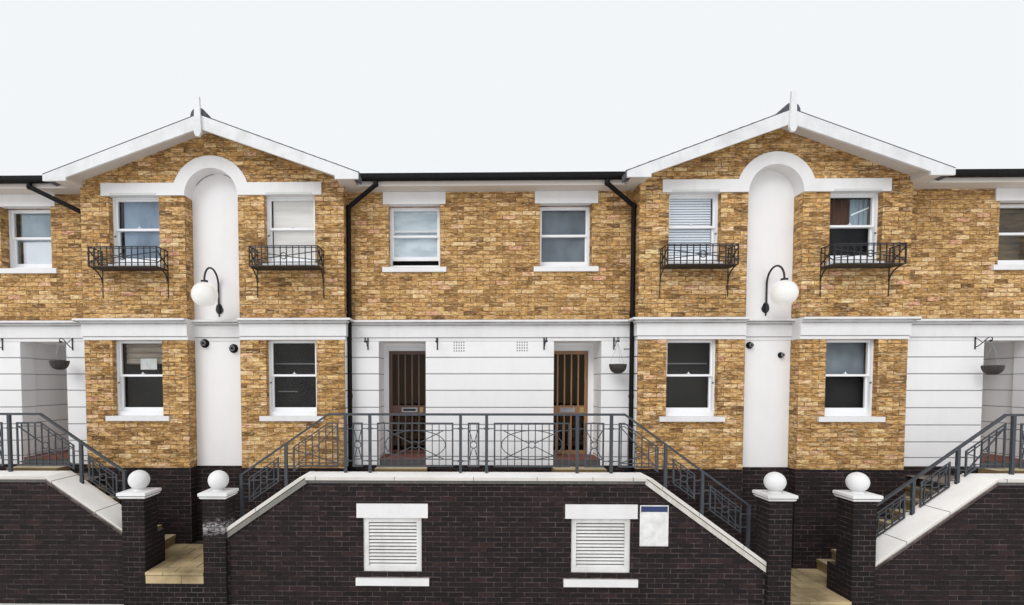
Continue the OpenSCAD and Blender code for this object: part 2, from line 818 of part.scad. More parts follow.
// Boxed eaves: soffit and fascia of the recesses, verge soffits and side boxes of the gables
soffit_z = 6625;
box_z = 6590;
box_half = gable_roof_half - 100;
box_in = gable_half - 50;
fascia_t = 25;
module eaves() {
    color("#d9d7d1") {
        for (r = recess_spans) {
            x0 = r[0] == -end_left ? r[0] : r[0] + valley_half - gable_half;
            x1 = r[1] == end_right ? r[1] : r[1] - valley_half + gable_half;
            along_x(x0, x1) polygon([[-eaves_over, soffit_z], [0, soffit_z],
                [0, soffit_z + soffit_t], [-eaves_over + fascia_t, soffit_z + soffit_t],
                [-eaves_over + fascia_t, under_z(-eaves_over + fascia_t)],
                [-eaves_over, under_z(-eaves_over)]]);
        }
        for (s = side, t = side) translate([s*house_w, 0, 0]) {
            along_y(gable_y - verge_over + barge_t, gable_y) scale([t, 1]) verge_section();
            box(min(t*gable_half, t*box_half), max(t*gable_half, t*box_half), gable_y - eps, 0,
                soffit_z, verge_z(box_half));
        }
    }
}

// Height of the boards under a gable roof, at a distance from the ridge
function verge_z(x) = ridge_z - roof_v - bedding - x*slope;

// Sloping boards under a verge and the box at their foot
module verge_section() {
    a = box_in + soffit_t;
    polygon([[0, verge_z(0)], [a, verge_z(a)], [a, verge_z(box_half)],
             [box_half, verge_z(box_half)], [box_half, soffit_z], [box_in, soffit_z],
             [box_in, verge_z(box_in) - soffit_t], [0, verge_z(0) - soffit_t]]);
}

// Barge boards of the gables, with the boxed ends and the finial
finial_w = 95;
finial_t = 45;
module barge_boards() {
    y = gable_y - verge_over;
    top = ridge_z - verge_t - bedding;
    foot = ridge_z - barge_h;
    w = finial_w;
    color("#f2f1ee") for (s = side) translate([s*house_w, 0, 0]) {
        along_y(y, y + barge_t) for (t = side) scale([t, 1])
            polygon([[0, top], [gable_roof_half, top - gable_roof_half*slope],
                     [gable_roof_half, box_z], [box_in, box_z], [box_in, box_z + box_step],
                     [0, foot]]);
        along_y(y - finial_t, y)
            polygon([[-0.62*w, ridge_z - 310], [-0.3*w, ridge_z - 376], [0.3*w, ridge_z - 376],
                     [0.62*w, ridge_z - 310], [0.4*w, ridge_z + 245], [0.12*w, ridge_z + 245],
                     [0, ridge_z + 225], [-0.12*w, ridge_z + 245], [-0.4*w, ridge_z + 245]]);
    }
}

// RAINWATER GOODS

gutter_z = 6800;
gutter_half = valley_half + 10;
gutter_spans = [[-end_left, -house_w - gutter_half],
                [-house_w + gutter_half, house_w - gutter_half],
                [house_w + gutter_half, end_right]];
module gutters() {
    r = gutter_w/2;
    color("#1c1c1f") for (g = gutter_spans) along_x(g[0], g[1])
        translate([-eaves_over - r, gutter_z - r]) difference() {
            union() {
                circle(r, $fn = 32);
                translate([-r, 0]) square([2*r, r]);
            }
            circle(r - 5, $fn = 32);
            translate([-r + 5, 0]) square([2*r - 10, 2*r]);
        }
}

// Downpipes: place along the row, run of the swan neck and height of its foot
pipe_x = [-house_w - gable_half - 50, -recess_half + 50, recess_half - 50];
neck_run = [-800, 500, -500];
neck_foot_z = [6235, 6320, 6320];
outlet_h = 60;
pipe_y = -165;
module downpipes() {
    r = pipe_dia/2;
    socket = r + 8;
    color("#1c1c1f") for (i = [0:2]) {
        drop = [pipe_x[i], pipe_y, neck_foot_z[i]];
        top = [pipe_x[i] + neck_run[i], -eaves_over - gutter_w/2, gutter_z - gutter_w - outlet_h];
        translate([drop[0], pipe_y, platform_z]) cylinder(h = drop[2] - platform_z, r = r);
        for (z = [platform_z + 60, (platform_z + cornice_z)/2, cornice_z + 40])
            translate([drop[0], pipe_y, z]) cylinder(h = 60, r = socket);
        translate(drop) sphere(socket);
        rod(drop, top, r);
        translate(top) sphere(socket);
        translate(top) cylinder(h = outlet_h, r = r);
    }
}

// Round bar between two points
module rod(a, b, r) {
    d = b - a;
    l = norm(d);
    translate(a) rotate([0, acos(d[2]/l), atan2(d[1], d[0])]) cylinder(h = l, r = r);
}

// BALCONETTES AND LAMPS

module balconettes() {
    b = balconette_bar;
    w = balconette_w/2;
    d = balconette_d;
    z = balconette_z;
    color("#1d1d20") for (x = gable_wins) translate([x, gable_y, 0]) {
        box(-w + b + part_gap, w - b - part_gap, -d + b + part_gap, 0, z, z + b);
        along_y(-d, -d + b) balconette_front(w, z);
        for (t = side) along_x(min(t*w, t*(w - b)), max(t*w, t*(w - b))) balconette_side(z);
    }
}

part_gap = 0.5;

// Elevation of the front: rails, upright bars, two flat crossing bars and a ring
module balconette_front(w, z) {
    b = balconette_bar;
    h = balconette_h;
    n = round(2*w/bar_pitch);
    for (zz = [0, 60, h - 40, h - b]) translate([-w, z + zz])
        square([2*w, zz == 60 || zz == h - 40 ? thin_bar : b]);
    for (i = [0:n]) translate([-w + i*(2*w - b)/n, z]) square([b, h - 1]);
    for (t = side) bar2([-w + b/2, z + h/2 - t*0.22*h], [w - b/2, z + h/2 + t*0.22*h], thin_bar);
    translate([0, z + h/2]) ring2(ring_r, thin_bar);
}

// Side of a balconette with its quarter-round bracket and wall bar, depth to the left
module balconette_side(z) {
    b = balconette_bar;
    d = balconette_d;
    h = balconette_h;
    f = -d + b + part_gap;
    translate([-b, z - wall_bar_h]) square([b, wall_bar_h + h]);
    for (zz = [0, h - b]) translate([f, z + zz]) square([-f, b]);
    for (i = [1:3]) translate([f*i/3, z]) square([thin_bar, h]);
    bar2([f + thin_bar/2, z + 60], [-b/2, z + h - 60], thin_bar);
    bar2([f + thin_bar/2, z + h - 60], [-b/2, z + 60], thin_bar);
    arc = [for (a = [0:15:90]) [f - (f + b/2)*sin(a), z + b - (bracket_h + b)*(1 - cos(a))]];
    inner = [for (a = [90:-15:0]) [f - (f + 1.5*b)*sin(a), z - (bracket_h + b)*(1 - cos(a))]];
    polygon(concat(arc, inner));
}

// Flat bar between two points of a plane
module bar2(a, b, t) {
    d = (b - a)/norm(b - a)*t/2;
    n = [-d[1], d[0]];
    polygon([a + n, a - n, b - n, b + n]);
}

// Round ring with its middle line at radius r
module ring2(r, t) {
    difference() {
        circle(r + t/2, $fn = 24);
        circle(r - t/2, $fn = 24);
    }
}

lamp_plate_z = 4583;
lamp_tube = 16;
lamp_stand = 35;
neck_r = 56;
module lamp_arms() {
    y = gable_y + niche_d;
    bend = (globe_reach - lamp_stand)/2;
    neck_z = globe_z + globe_dia/2 - 19;
    turn_z = globe_z + globe_dia/2 + 25;
    color("#1d1d20") for (s = side) translate([s*house_w, y, 0]) {
        translate([0, 0, lamp_plate_z]) rotate([90, 0, 0]) {
            cylinder(h = 14, r = 65);
            cylinder(h = lamp_stand, r = 24);
        }
        translate([0, -lamp_stand, lamp_plate_z - 60]) cylinder(h = turn_z - lamp_plate_z + 60,
                                                                 r = lamp_tube);
        translate([0, -lamp_stand - bend, turn_z]) rotate([0, 90, 0]) rotate([0, 0, 90])
            rotate_extrude(angle = 180) translate([bend, 0]) circle(lamp_tube);
        translate([0, -globe_reach, neck_z + 40]) cylinder(h = turn_z - neck_z - 40, r = lamp_tube);
        translate([0, -globe_reach, neck_z]) cylinder(h = 45, r = neck_r - 1);
    }
}

module lamp_globes() {
    y = gable_y + niche_d - globe_reach;
    color("#f4f2ea") for (s = side) translate([s*house_w, y, globe_z]) difference() {
        sphere(globe_dia/2, $fn = 48);
        translate([0, 0, globe_dia/2 - 20]) cylinder(h = 100, r = neck_r);
    }
}

// ENTRANCE WORKS

gate_x = [-house_w, house_w];
landing_z = [landing_left_z, landing_right_z];
stair_run = [stair_left_run, stair_right_run];
street_in = -street_y + street_t;
steps = [round((platform_z - landing_left_z)/170), round((platform_z - landing_right_z)/170)];
function rise(g) = (platform_z - landing_z[g])/steps[g];
function foot_x(g) = stair_run[g] - (steps[g] - 1)*going;
platform_spans = [[-end_left, -house_w - stair_left_run],
                  [-house_w + stair_left_run, house_w - stair_right_run],
                  [house_w + stair_right_run, end_right]];

// Raised platforms in front of the doors, and the paved landings inside the gateways
platform_t = 200;
module platforms() {
    color("#6d6862") {
        difference() {
            for (p = platform_spans)
                box(p[0], p[1], street_in, -plinth_proj, platform_z - platform_t, platform_z);
            gable_blocks();
        }
        for (g = [0, 1]) translate([gate_x[g], 0, 0]) {
            box(-foot_x(g) - going, foot_x(g) + going, street_in, gable_y, 0, landing_z[g]);
            box(-gate_w/2, gate_w/2, -pillar_y, street_in + eps, 0, landing_z[g]);
        }
    }
}

// Space taken up by the gable bays
module gable_blocks() {
    for (s = side) box(s*house_w - gable_half, s*house_w + gable_half, gable_y, eps, -eps,
                       platform_z + eps);
}

// Sloping masonry under the flights
module stair_bases() {
    color("#4a4440") for (g = [0, 1], t = side) translate([gate_x[g], 0, 0]) scale([t, 1, 1])
        along_y(street_in, gable_y)
            polygon([[foot_x(g) + going, 0], [foot_x(g) + going, landing_z[g]],
                     [stair_run[g], platform_z - 2*rise(g)], [stair_run[g], 0]]);
}

// Block across a flight between two distances from the middle of the gateway
module flight_box(t, x0, x1, z0, z1) {
    box(min(t*x0, t*x1), max(t*x0, t*x1), street_in, -plinth_proj, z0, z1);
}

// Stone steps with nosings, and the slabs before the doors
nosing = 20;
step_joint = 1;
door_step_d = 350;
door_step_z = 1840;
module steps_of_stone() {
    color("#b9aa8b") difference() {
        for (g = [0, 1], t = side, i = [0:steps[g] - 2]) translate([gate_x[g], 0, 0]) {
            x0 = foot_x(g) + i*going;
            z = landing_z[g] + (i + 1)*rise(g);
            flight_box(t, x0, x0 + going - step_joint, z - rise(g), z);
            flight_box(t, x0 - nosing, x0 + eps, z - tread_t, z);
        }
        gable_blocks();
    }
    color("#b9aa8b") for (p = porches)
        box(p[0] - porch_w/2 - 30, p[0] + porch_w/2 + 30, -door_step_d, -plinth_proj,
            platform_z, door_step_z);
}

// Start, bends and end of the three street walls, left to right, and the falls of their ends
pillar_out = gate_w/2 + pillar_w;
coping_bend = [left_bend, right_bend];
wall_runs = [
    [-end_left, -end_left, -house_w - coping_bend[0], -house_w - pillar_out],
    [-house_w + pillar_out, -house_w + coping_bend[0], house_w - coping_bend[1],
     house_w - pillar_out],
    [house_w + pillar_out, house_w + coping_bend[1], end_right, end_right]];
falls = [[0, left_fall]/1000, [left_fall, right_fall]/1000, [right_fall, 0]/1000];

// Height at x of a line that is level at z and falls beyond the bends of run r
function fall_z(runs, r, z, x) = z - max(0, runs[r][1] - x)*falls[r][0]
                                   - max(0, x - runs[r][2])*falls[r][1];
// The points of a run between x0 and x1
function run_xs(run, x0, x1) = concat([x0], [for (x = [run[1], run[2]]) if (x > x0 && x < x1) x],
                                      [x1]);

// Elevation of a wall or coping, from top down to foot below the line, or down to a level
module run_outline(r, z, top, foot, below) {
    run = wall_runs[r];
    line = [for (x = run_xs(run, run[0], run[3])) [x, fall_z(wall_runs, r, z, x)]];
    n = len(line);
    upper = [for (q = line) q - [0, top]];
    lower = below ? [for (i = [n - 1:-1:0]) line[i] - [0, foot]]
                  : [[run[3], foot], [run[0], foot]];
    polygon(concat(upper, lower));
}

module street_walls() {
    color("#2e2a2f") {
        for (r = [0:2]) difference() {
            along_y(-street_y, street_in) run_outline(r, coping_z, coping_t + bedding, 0, false);
            for (x = vent_xs) translate([x, -street_y, 0]) {
                box(-vent_w/2, vent_w/2, -eps, street_t + eps, vent_foot_z, vent_top_z);
                lintel(vent_w, vent_top_z);
                vent_sill();
            }
        }
        for (x = [-end_left, end_right - party_t])
            box(x, x + party_t, street_in, -plinth_proj, 0, platform_z - platform_t);
        for (g = [0, 1], t = side) {
            x = gate_x[g] + t*(gate_w + pillar_w)/2;
            box(x - pillar_w/2, x + pillar_w/2, -pillar_y + pillar_w, street_in, 0,
                coping_z - (coping_bend[g] - pillar_out)*falls[1][g] - coping_t - bedding);
        }
    }
}

// Pale copings: a slab over a narrower bed course
module copings() {
    color("#e6e3da") for (r = [0:2]) {
        along_y(-street_y - coping_over, street_in + coping_over)
            run_outline(r, coping_z, 0, coping_t/2, true);
        along_y(-street_y - coping_over/2, street_in + coping_over/2)
            run_outline(r, coping_z, coping_t/2 - eps, coping_t, true);
    }
}

module pillars() {
    color("#2e2a2f") for (g = gate_x, t = side) {
        x = g + t*(gate_w + pillar_w)/2;
        box(x - pillar_w/2, x + pillar_w/2, -pillar_y, -pillar_y + pillar_w, 0, pillar_z);
    }
}

module pillar_caps() {
    y = -pillar_y + pillar_w/2;
    r = ball_dia/2;
    color("#e6e3da") for (g = gate_x, t = side) translate([g + t*(gate_w + pillar_w)/2, y, 0]) {
        box(-215, 215, -215, 215, pillar_z, pillar_z + 75);
        box(-150, 150, -150, 150, pillar_z + 75, pillar_z + 130);
        translate([0, 0, pillar_z + 130]) cylinder(h = 40, r = 70);
        translate([0, 0, pillar_z + 145 + r]) sphere(r, $fn = 40);
    }
}

// RAILINGS

// Start, bends and end of the three handrails, left to right
rail_bend = [[2306, 2185], [2717, 2983]];
rail_end = [[985, 800], [795, 925]];
rail_runs = [
    [-end_left, -end_left, -house_w - rail_bend[0][0], -house_w - rail_end[0][0]],
    [-house_w + rail_end[0][1], -house_w + rail_bend[0][1], house_w - rail_bend[1][0],
     house_w - rail_end[1][0]],
    [house_w + rail_end[1][1], house_w + rail_bend[1][1], end_right, end_right]];

// Middles of the posts; a narrow and a wide panel follow each other on the level parts
narrow = 378;
wide = 1394;
level_post = [2799, 2447, 2920, 3101];
posts = [
    [-house_w - level_post[0] - narrow - wide, -house_w - level_post[0] - narrow,
     -house_w - level_post[0], -house_w - 1678, -house_w - 1008],
    [-house_w + 826, -house_w + 1523, -house_w + level_post[1], -house_w + level_post[1] + narrow,
     -501, -102, 1284, house_w - level_post[2], house_w - 2092, house_w - 1531, house_w - 821],
    [house_w + 950, house_w + 1644, house_w + 2297, house_w + level_post[3],
     house_w + level_post[3] + narrow, house_w + level_post[3] + narrow + wide, end_right - 60]];

function rail_line(r, x) = fall_z(rail_runs, r, rail_z, x);

// Handrails in straight lengths, and posts that stand on the copings
module railings() {
    g = part_gap;
    color("#565d63") for (r = [0:2]) {
        run = rail_runs[r];
        for (i = [0:2]) if (run[i + 1] > run[i] + 1)
            along_y(-rail_y - rail_w/2, -rail_y + rail_w/2)
                slab_between(run[i] + g, run[i + 1] - g, r, [0, 0], [rail_h, rail_h]);
        for (x = posts[r]) along_y(-rail_y - post_w/2, -rail_y + post_w/2) {
            a = x - post_w/2;
            b = x + post_w/2;
            polygon([[a, rail_line(r, a) - rail_h - g], [b, rail_line(r, b) - rail_h - g],
                     [b, fall_z(wall_runs, r, coping_z, b) + g],
                     [a, fall_z(wall_runs, r, coping_z, a) + g]]);
        }
    }
}

// Shape between two offsets below the handrail line
module slab_between(x0, x1, r, top, foot) {
    polygon([[x0, rail_line(r, x0) - top[0]], [x1, rail_line(r, x1) - top[1]],
             [x1, rail_line(r, x1) - foot[1]], [x0, rail_line(r, x0) - foot[0]]]);
}

// Upper and lower edge of the panels in run r
function panel_top(r, x) = rail_line(r, x) - panel_drop;
function panel_foot(r, x) = min(rail_z - panel_drop - panel_h, panel_top(r, x) - rake_panel_h);
function foot_run(r) = let(d = panel_h - rake_panel_h, run = rail_runs[r], f = falls[r])
    [run[0], f[0] > 0 ? run[1] - d/f[0] : run[1], f[1] > 0 ? run[2] + d/f[1] : run[2], run[3]];

module panel_outline(r, x0, x1, inset) {
    upper = run_xs(rail_runs[r], x0, x1);
    lower = run_xs(foot_run(r), x0, x1);
    n = len(lower);
    polygon(concat([for (x = upper) [x, panel_top(r, x) - inset]],
                   [for (i = [n - 1:-1:0]) [lower[i], panel_foot(r, lower[i]) + inset]]));
}

// Elevation of one panel between x0 and x1
module panel(r, x0, x1) {
    t = thin_bar;
    e = stile_bar - eps;
    xc = (x0 + x1)/2;
    zc = (panel_top(r, xc) + panel_foot(r, xc))/2;
    flat = abs(panel_top(r, x0) - panel_top(r, x1)) < 1;
    inset = flat ? panel_h/2 - oval_h - t/2 : 55;
    hx = min((x1 - x0)/2 - stile_bar, oval_w - 25);
    difference() {
        panel_outline(r, x0, x1, 0);
        panel_outline(r, x0 + stile_bar, x1 - stile_bar, panel_rail);
    }
    difference() {
        panel_outline(r, x0 + eps, x1 - eps, inset);
        panel_outline(r, x0 + e, x1 - e, inset + t);
    }
    half = (x1 - x0)/2 - stile_bar - t;
    for (k = [0:6], m = side) if ((k + 0.5)*bar_pitch < half) {
        a = xc + m*(k + 0.5)*bar_pitch - t/2;
        b = a + t;
        polygon([[a, panel_top(r, a) - eps], [b, panel_top(r, b) - eps],
                 [b, panel_foot(r, b) + eps], [a, panel_foot(r, a) + eps]]);
    }
    difference() {
        for (m = side) bar2([xc - m*hx, panel_foot(r, xc - m*hx) + inset + t/2],
                            [xc + m*hx, panel_top(r, xc + m*hx) - inset - t/2], t);
        translate([xc, zc]) circle(ring_r, $fn = 24);
    }
    translate([xc, zc]) ring2(ring_r, t);
    if (flat && x1 - x0 > 2*oval_w) translate([xc, zc]) difference() {
        oval(oval_w + t/2, oval_h + t/2);
        oval(oval_w - t/2, oval_h - t/2);
    }
    for (m = side) {
        x = m < 0 ? x0 : x1;
        reach = panel_gap - post_w/2 - part_gap;
        for (z = [panel_top(r, x) - pin_drop, panel_foot(r, x) + pin_drop])
            translate([x, z]) scale([m, 1])
                polygon([[-eps, -t/2], [reach - pin_cone, -t/2], [reach, -pin_cone/2],
                         [reach, pin_cone/2], [reach - pin_cone, t/2], [-eps, t/2]]);
    }
}

// Depth of the fixing pins below and above the panel edges, and the length of their cones
pin_drop = 93;
pin_cone = 28;

module oval(a, b) {
    polygon([for (i = [0:35]) [a*cos(10*i), b*sin(10*i)]]);
}

module balustrade_panels() {
    color("#565d63") for (r = [0:2], i = [0:len(posts[r]) - 2])
        along_y(-rail_y - panel_rail/2, -rail_y + panel_rail/2)
            panel(r, posts[r][i] + panel_gap, posts[r][i + 1] - panel_gap);
}

// VENTS

module vent_sill() {
    box(-vent_w/2 - 112, vent_w/2 + 112, -40, band_bed, vent_foot_z - 90 - 110,
        vent_foot_z - 90);
}

module louvre_vents() {
    color("#dcdcd8") for (x = vent_xs) translate([x, -street_y, 0]) {
        ring(vent_w, vent_foot_z, vent_top_z, 20, 60, 75, 75, 75);
        pitch = (vent_top_z - vent_foot_z - 150)/vent_slats;
        for (i = [0:vent_slats - 1]) along_x(-vent_w/2 + 75, vent_w/2 - 75)
            translate([30, vent_foot_z + 75 + i*pitch])
                polygon([[0, 0], [8, 0], [40, pitch - 6], [32, pitch - 6]]);
    }
}

plinth();
cross_walls();
rear_wall();
gable_walls();
gable_heads();
recess_walls();
rendered_piers();
rendered_heads();
porch_linings();
floors();
cornice();
arch_bands();
niche_panels();
lintels();
sills();
window_frames();
sashes();
glazing();
door_frames();
door_left();
door_left_glass();
door_right();
door_right_glass();
outer_doors();
roof_front();
roof_rear();
cross_roofs();
ridges();
eaves();
barge_boards();
gutters();
downpipes();
balconettes();
lamp_arms();
lamp_globes();
platforms();
stair_bases();
steps_of_stone();
street_walls();
copings();
pillars();
pillar_caps();
railings();
balustrade_panels();
louvre_vents();
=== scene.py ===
"""Looks of a row of four terraced houses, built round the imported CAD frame.

Metres, +Z up, the street towards -Y, X = 0 between the two middle houses.
"""
import math
import random

import bpy
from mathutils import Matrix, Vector


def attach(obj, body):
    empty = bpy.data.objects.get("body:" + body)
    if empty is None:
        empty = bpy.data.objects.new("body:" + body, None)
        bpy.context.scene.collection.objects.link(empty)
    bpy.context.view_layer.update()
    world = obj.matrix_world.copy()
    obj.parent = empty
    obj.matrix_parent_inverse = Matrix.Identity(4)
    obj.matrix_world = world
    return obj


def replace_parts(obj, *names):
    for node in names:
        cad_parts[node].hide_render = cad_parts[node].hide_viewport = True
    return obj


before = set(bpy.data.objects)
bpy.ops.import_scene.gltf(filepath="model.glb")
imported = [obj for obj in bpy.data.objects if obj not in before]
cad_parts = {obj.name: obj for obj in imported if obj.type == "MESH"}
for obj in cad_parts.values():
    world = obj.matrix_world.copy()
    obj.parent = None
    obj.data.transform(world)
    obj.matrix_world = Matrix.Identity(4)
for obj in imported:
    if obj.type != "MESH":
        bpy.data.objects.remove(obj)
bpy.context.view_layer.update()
rng = random.Random(7)

# driving sizes
HOUSE_W = 4.720                  # party wall to party wall
END_L, END_R = -9.470, 10.470    # outer faces of the end walls
WALL_T, PARTY_HALF = 0.300, 0.1075
REAR_Y = 8.000                   # rear wall face
GABLE_HALF = 2.240
GABLE_Y = -0.330                 # face of the gable bays
PLINTH_Y = -0.020                # face of the base between the bays
STREET_Y = -1.625                # face of the street wall
STREET_IN = -1.185               # its inner face
PLINTH_Z, FLOOR_Z, PLATFORM_Z = 1.850, 1.975, 1.700
HEAD_Z, BAND_Z, CORNICE_Z = 4.045, 4.109, 4.405
SOFFIT_Z = 6.625
EAVES_Z, RIDGE_Z = 6.810, 7.640
EAVES_OVER, VERGE_OVER, VERGE_HALF = 0.300, 0.400, 2.570
PITCH = math.radians(20)
SLOPE = math.tan(PITCH)
ROOF_V = 0.090/math.cos(PITCH)
UNDER_ROOF = EAVES_Z - ROOF_V + EAVES_OVER*SLOPE    # at the wall faces
NICHE_R, ARCH_OUT, ARCH_TUCK = 0.450, 0.655, 0.070
GABLE_HEAD_Z, RECESS_HEAD_Z = 6.475, 6.415
GABLE_WIN_X, GABLE_WIN_W, BAND_HALF = 1.327, 0.858, 1.873
RECESS_WIN_X, RECESS_WIN_W, REAR_WIN_W = 1.317, 0.900, 1.000
LOWER_SILL_Z, UPPER_SILL_Z, SILL_H = 2.745, 5.330, 0.085
LINTEL_H, LINTEL_EAR = 0.208, 0.095
SILL_EAR, UPPER_SILL_EAR, RECESS_SILL_EAR, VENT_SILL_EAR = 0.118, 0.040, 0.108, 0.112
REVEAL, RECESS_REVEAL, FRAME_D = 0.100, 0.170, 0.124
NICHE_D, PLINTH_NICHE_D = 0.240, 0.200
PORCH_X, PORCH_W, LOBBY_HALF = 1.537, 0.828, 0.465
PORCH_D, OUTER_PORCH_D, DOOR_STEP_Z = 0.560, 1.250, 1.840
VENTS, VENT_W, VENT_TOP, VENT_FOOT = (-1.504, 1.560), 0.860, 1.330, 0.520
VENT_RAIL, VENT_GAPS = 0.075, 13
COPING_Z, COPING_T = 1.930, 0.090
PILLAR_W, PILLAR_Y, PILLAR_Z, GATE_W = 0.330, -1.705, 1.560, 0.870
CAP_Z = 1.612                    # foot of the cap stones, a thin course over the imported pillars
BALL_R, BALL_Z = 0.1465, 1.862
# of the left (-1) and right (1) gateway, lengths from its middle
LANDING_Z = {-1: 0.520, 1: 0.150}
LANDING_HALF = {-1: 0.738, 1: 0.838}
STAIR_REACH = {-1: 1.95, 1: 2.52}
COPING_BEND = {-1: 1.932, 1: 2.507}   # end of the level copings
FALL = {-1: 0.690, 1: 0.730}
COURSE, BRICK_L, JOINT = 0.075, 0.215, 0.010
BRICK = (BRICK_L, COURSE)
SHORT_BRICK = (0.160, COURSE)

SIDES = (-1, 1)
SIDE_NAMES = {-1: "left", 1: "right"}
CORNERS = [(side, t) for side in SIDES for t in SIDES]    # left and right of each bay or gateway
HALF_BAY = HOUSE_W - GABLE_HALF
RECESSES = ((END_L, -HOUSE_W - GABLE_HALF), (-HALF_BAY, HALF_BAY), (HOUSE_W + GABLE_HALF, END_R))
PORCHES = (END_L + PORCH_X, -PORCH_X, PORCH_X, END_R - PORCH_X)
RECESS_WINS = (END_L + RECESS_WIN_X - 0.035, -RECESS_WIN_X, RECESS_WIN_X, END_R - RECESS_WIN_X)


# colours and nodes
def linear(colour, k=1.0):
    """Socket value of an 8-bit screen colour, k times as bright."""
    def one(c):
        c /= 255
        return c/12.92 if c <= 0.04045 else ((c + 0.055)/1.055)**2.4
    return tuple(one(c)*k for c in colour) + (1.0,)


def paint(colour):
    """Socket value of an 8-bit colour, a linear colour or a grey level."""
    if isinstance(colour, tuple):
        return linear(colour) if len(colour) == 3 else colour
    return (colour, colour, colour, 1)


def add_node(tree, kind, inputs=(), **props):
    """A shader node with its properties. inputs holds outputs to link, colours and numbers."""
    node = tree.nodes.new("ShaderNode" + kind)
    for key, value in props.items():
        setattr(node, key, value)
    for key, value in dict(inputs).items():
        if isinstance(value, bpy.types.NodeSocket):
            tree.links.new(value, node.inputs[key])
        else:
            node.inputs[key].default_value = paint(value) if isinstance(value, tuple) else value
    return node


MATERIALS = {}


class Shader:
    """A material under construction, with short calls for the nodes it needs."""

    def __init__(self, name, roughness, metallic=0.0, **sockets):
        mat = bpy.data.materials.new(name)
        mat.use_nodes = True
        MATERIALS[name] = mat
        self.tree = mat.node_tree
        self.bsdf = self.tree.nodes["Principled BSDF"]
        for key, value in dict(sockets, Roughness=roughness, Metallic=metallic).items():
            self.bsdf.inputs[key.replace("_", " ")].default_value = (
                paint(value) if isinstance(value, tuple) else value)
        self.place = self.node("TexCoord").outputs["Object"]

    def node(self, kind, inputs=(), **props):
        return add_node(self.tree, kind, inputs, **props)

    def surface(self, socket, value):
        self.tree.links.new(value, self.bsdf.inputs[socket])

    def noise(self, scale, detail=4.0, rough=0.55, stretch=None):
        where = self.place
        if stretch:
            mapping = self.node("Mapping", {"Vector": where})
            mapping.inputs["Scale"].default_value = stretch
            where = mapping.outputs["Vector"]
        return self.node("TexNoise", {"Scale": scale, "Detail": detail, "Roughness": rough,
                                      "Vector": where}).outputs["Fac"]

    def tone(self):
        return self.node("Attribute", attribute_name="tone").outputs["Fac"]

    def ramp(self, fac, *stops):
        node = self.node("ValToRGB", {"Fac": fac})
        elements = node.color_ramp.elements
        while len(elements) < len(stops):
            elements.new(0.5)
        for element, (position, colour) in zip(elements, stops):
            element.position = position
            element.color = paint(colour)
        return node.outputs["Color"]

    def mix(self, fac, a, b, blend="MIX"):
        return self.node("Mix", {0: fac, 6: a, 7: b}, data_type="RGBA", blend_type=blend).outputs[2]

    def math(self, operation, a, b=0.5, clamp=False):
        return self.node("Math", {0: a, 1: b}, operation=operation, use_clamp=clamp).outputs[0]

    def axis(self, letter, where=None):
        return self.node("SeparateXYZ", {0: where or self.place}).outputs[letter]

    def colour(self, value):
        self.surface("Base Color", value)

    def rough(self, fac, low, high):
        self.surface("Roughness", self.ramp(fac, (0.3, low), (0.7, high)))

    def bump(self, height, strength, distance=0.002):
        node = self.node("Bump", {"Strength": strength, "Distance": distance, "Height": height})
        self.surface("Normal", node.outputs["Normal"])


def brick(name, stops, grime, fire, pits, bump, cream=None, lime=None):
    """Bricks whose colour follows the face attribute tone, with fire marks, pits and soot.

    cream is a paler blush on some of them. lime is (lowest, highest) level of a white bloom.
    """
    s = Shader(name, 0.88, Specular_IOR_Level=0.3)
    base = s.ramp(s.tone(), *stops)
    marks = s.noise(1.0, 5, 0.65, (11, 11, 40))
    base = s.mix(fire, base, s.ramp(marks, (0.36, 0.14), (0.50, 0.50), (0.64, 0.86)), "OVERLAY")
    if cream:
        base = s.mix(s.ramp(s.noise(1.0, 4, 0.7, (7, 7, 34)), (0.53, 0.0), (0.64, 0.72)), base, cream)
    base = s.mix(s.ramp(s.noise(1.0, 4, 0.75, (20, 20, 52)), (0.56, 0.0), (0.64, pits)), base, grime)
    base = s.mix(s.ramp(s.noise(0.6, 4), (0.50, 0.0), (0.80, 0.22)), base, grime)
    if lime:
        middle, reach = (lime[0] + lime[1])/2, (lime[1] - lime[0])/2
        away = s.math("DIVIDE", s.math("ABSOLUTE", s.math("SUBTRACT", s.axis("Z"), middle)), reach)
        bloom = s.math("SUBTRACT", s.noise(1.0, 5, 0.8, (16, 16, 30)), s.math("MULTIPLY", away, 0.22))
        base = s.mix(s.ramp(bloom, (0.36, 0.0), (0.56, 0.6)), base, (206, 204, 206))
    s.colour(base)
    s.bump(s.noise(110, 5, 0.7), bump, 0.003)


def mortar(name, light, dark):
    s = Shader(name, 0.95, Specular_IOR_Level=0.3)
    s.colour(s.mix(s.ramp(s.noise(5, 6, 0.7), (0.40, 0.0), (0.60, 1.0)), light, dark))
    s.bump(s.noise(220, 3), 0.5)


def painted(name, colour, dirt, roughness=0.55, streaks=0.12, bump=0.12):
    """Paint or render with soft stains and faint streaks that run down."""
    s = Shader(name, roughness)
    base = s.mix(s.ramp(s.noise(1.0, 5, 0.6, (7.0, 7.0, 0.8)), (0.50, 0.0), (0.85, streaks)), colour, dirt)
    s.colour(s.mix(s.ramp(s.noise(1.8, 5, 0.65), (0.46, 0.0), (0.80, streaks*1.6)), base, dirt))
    s.rough(s.noise(12, 3), roughness - 0.08, roughness + 0.12)
    s.bump(s.noise(70, 4), bump)


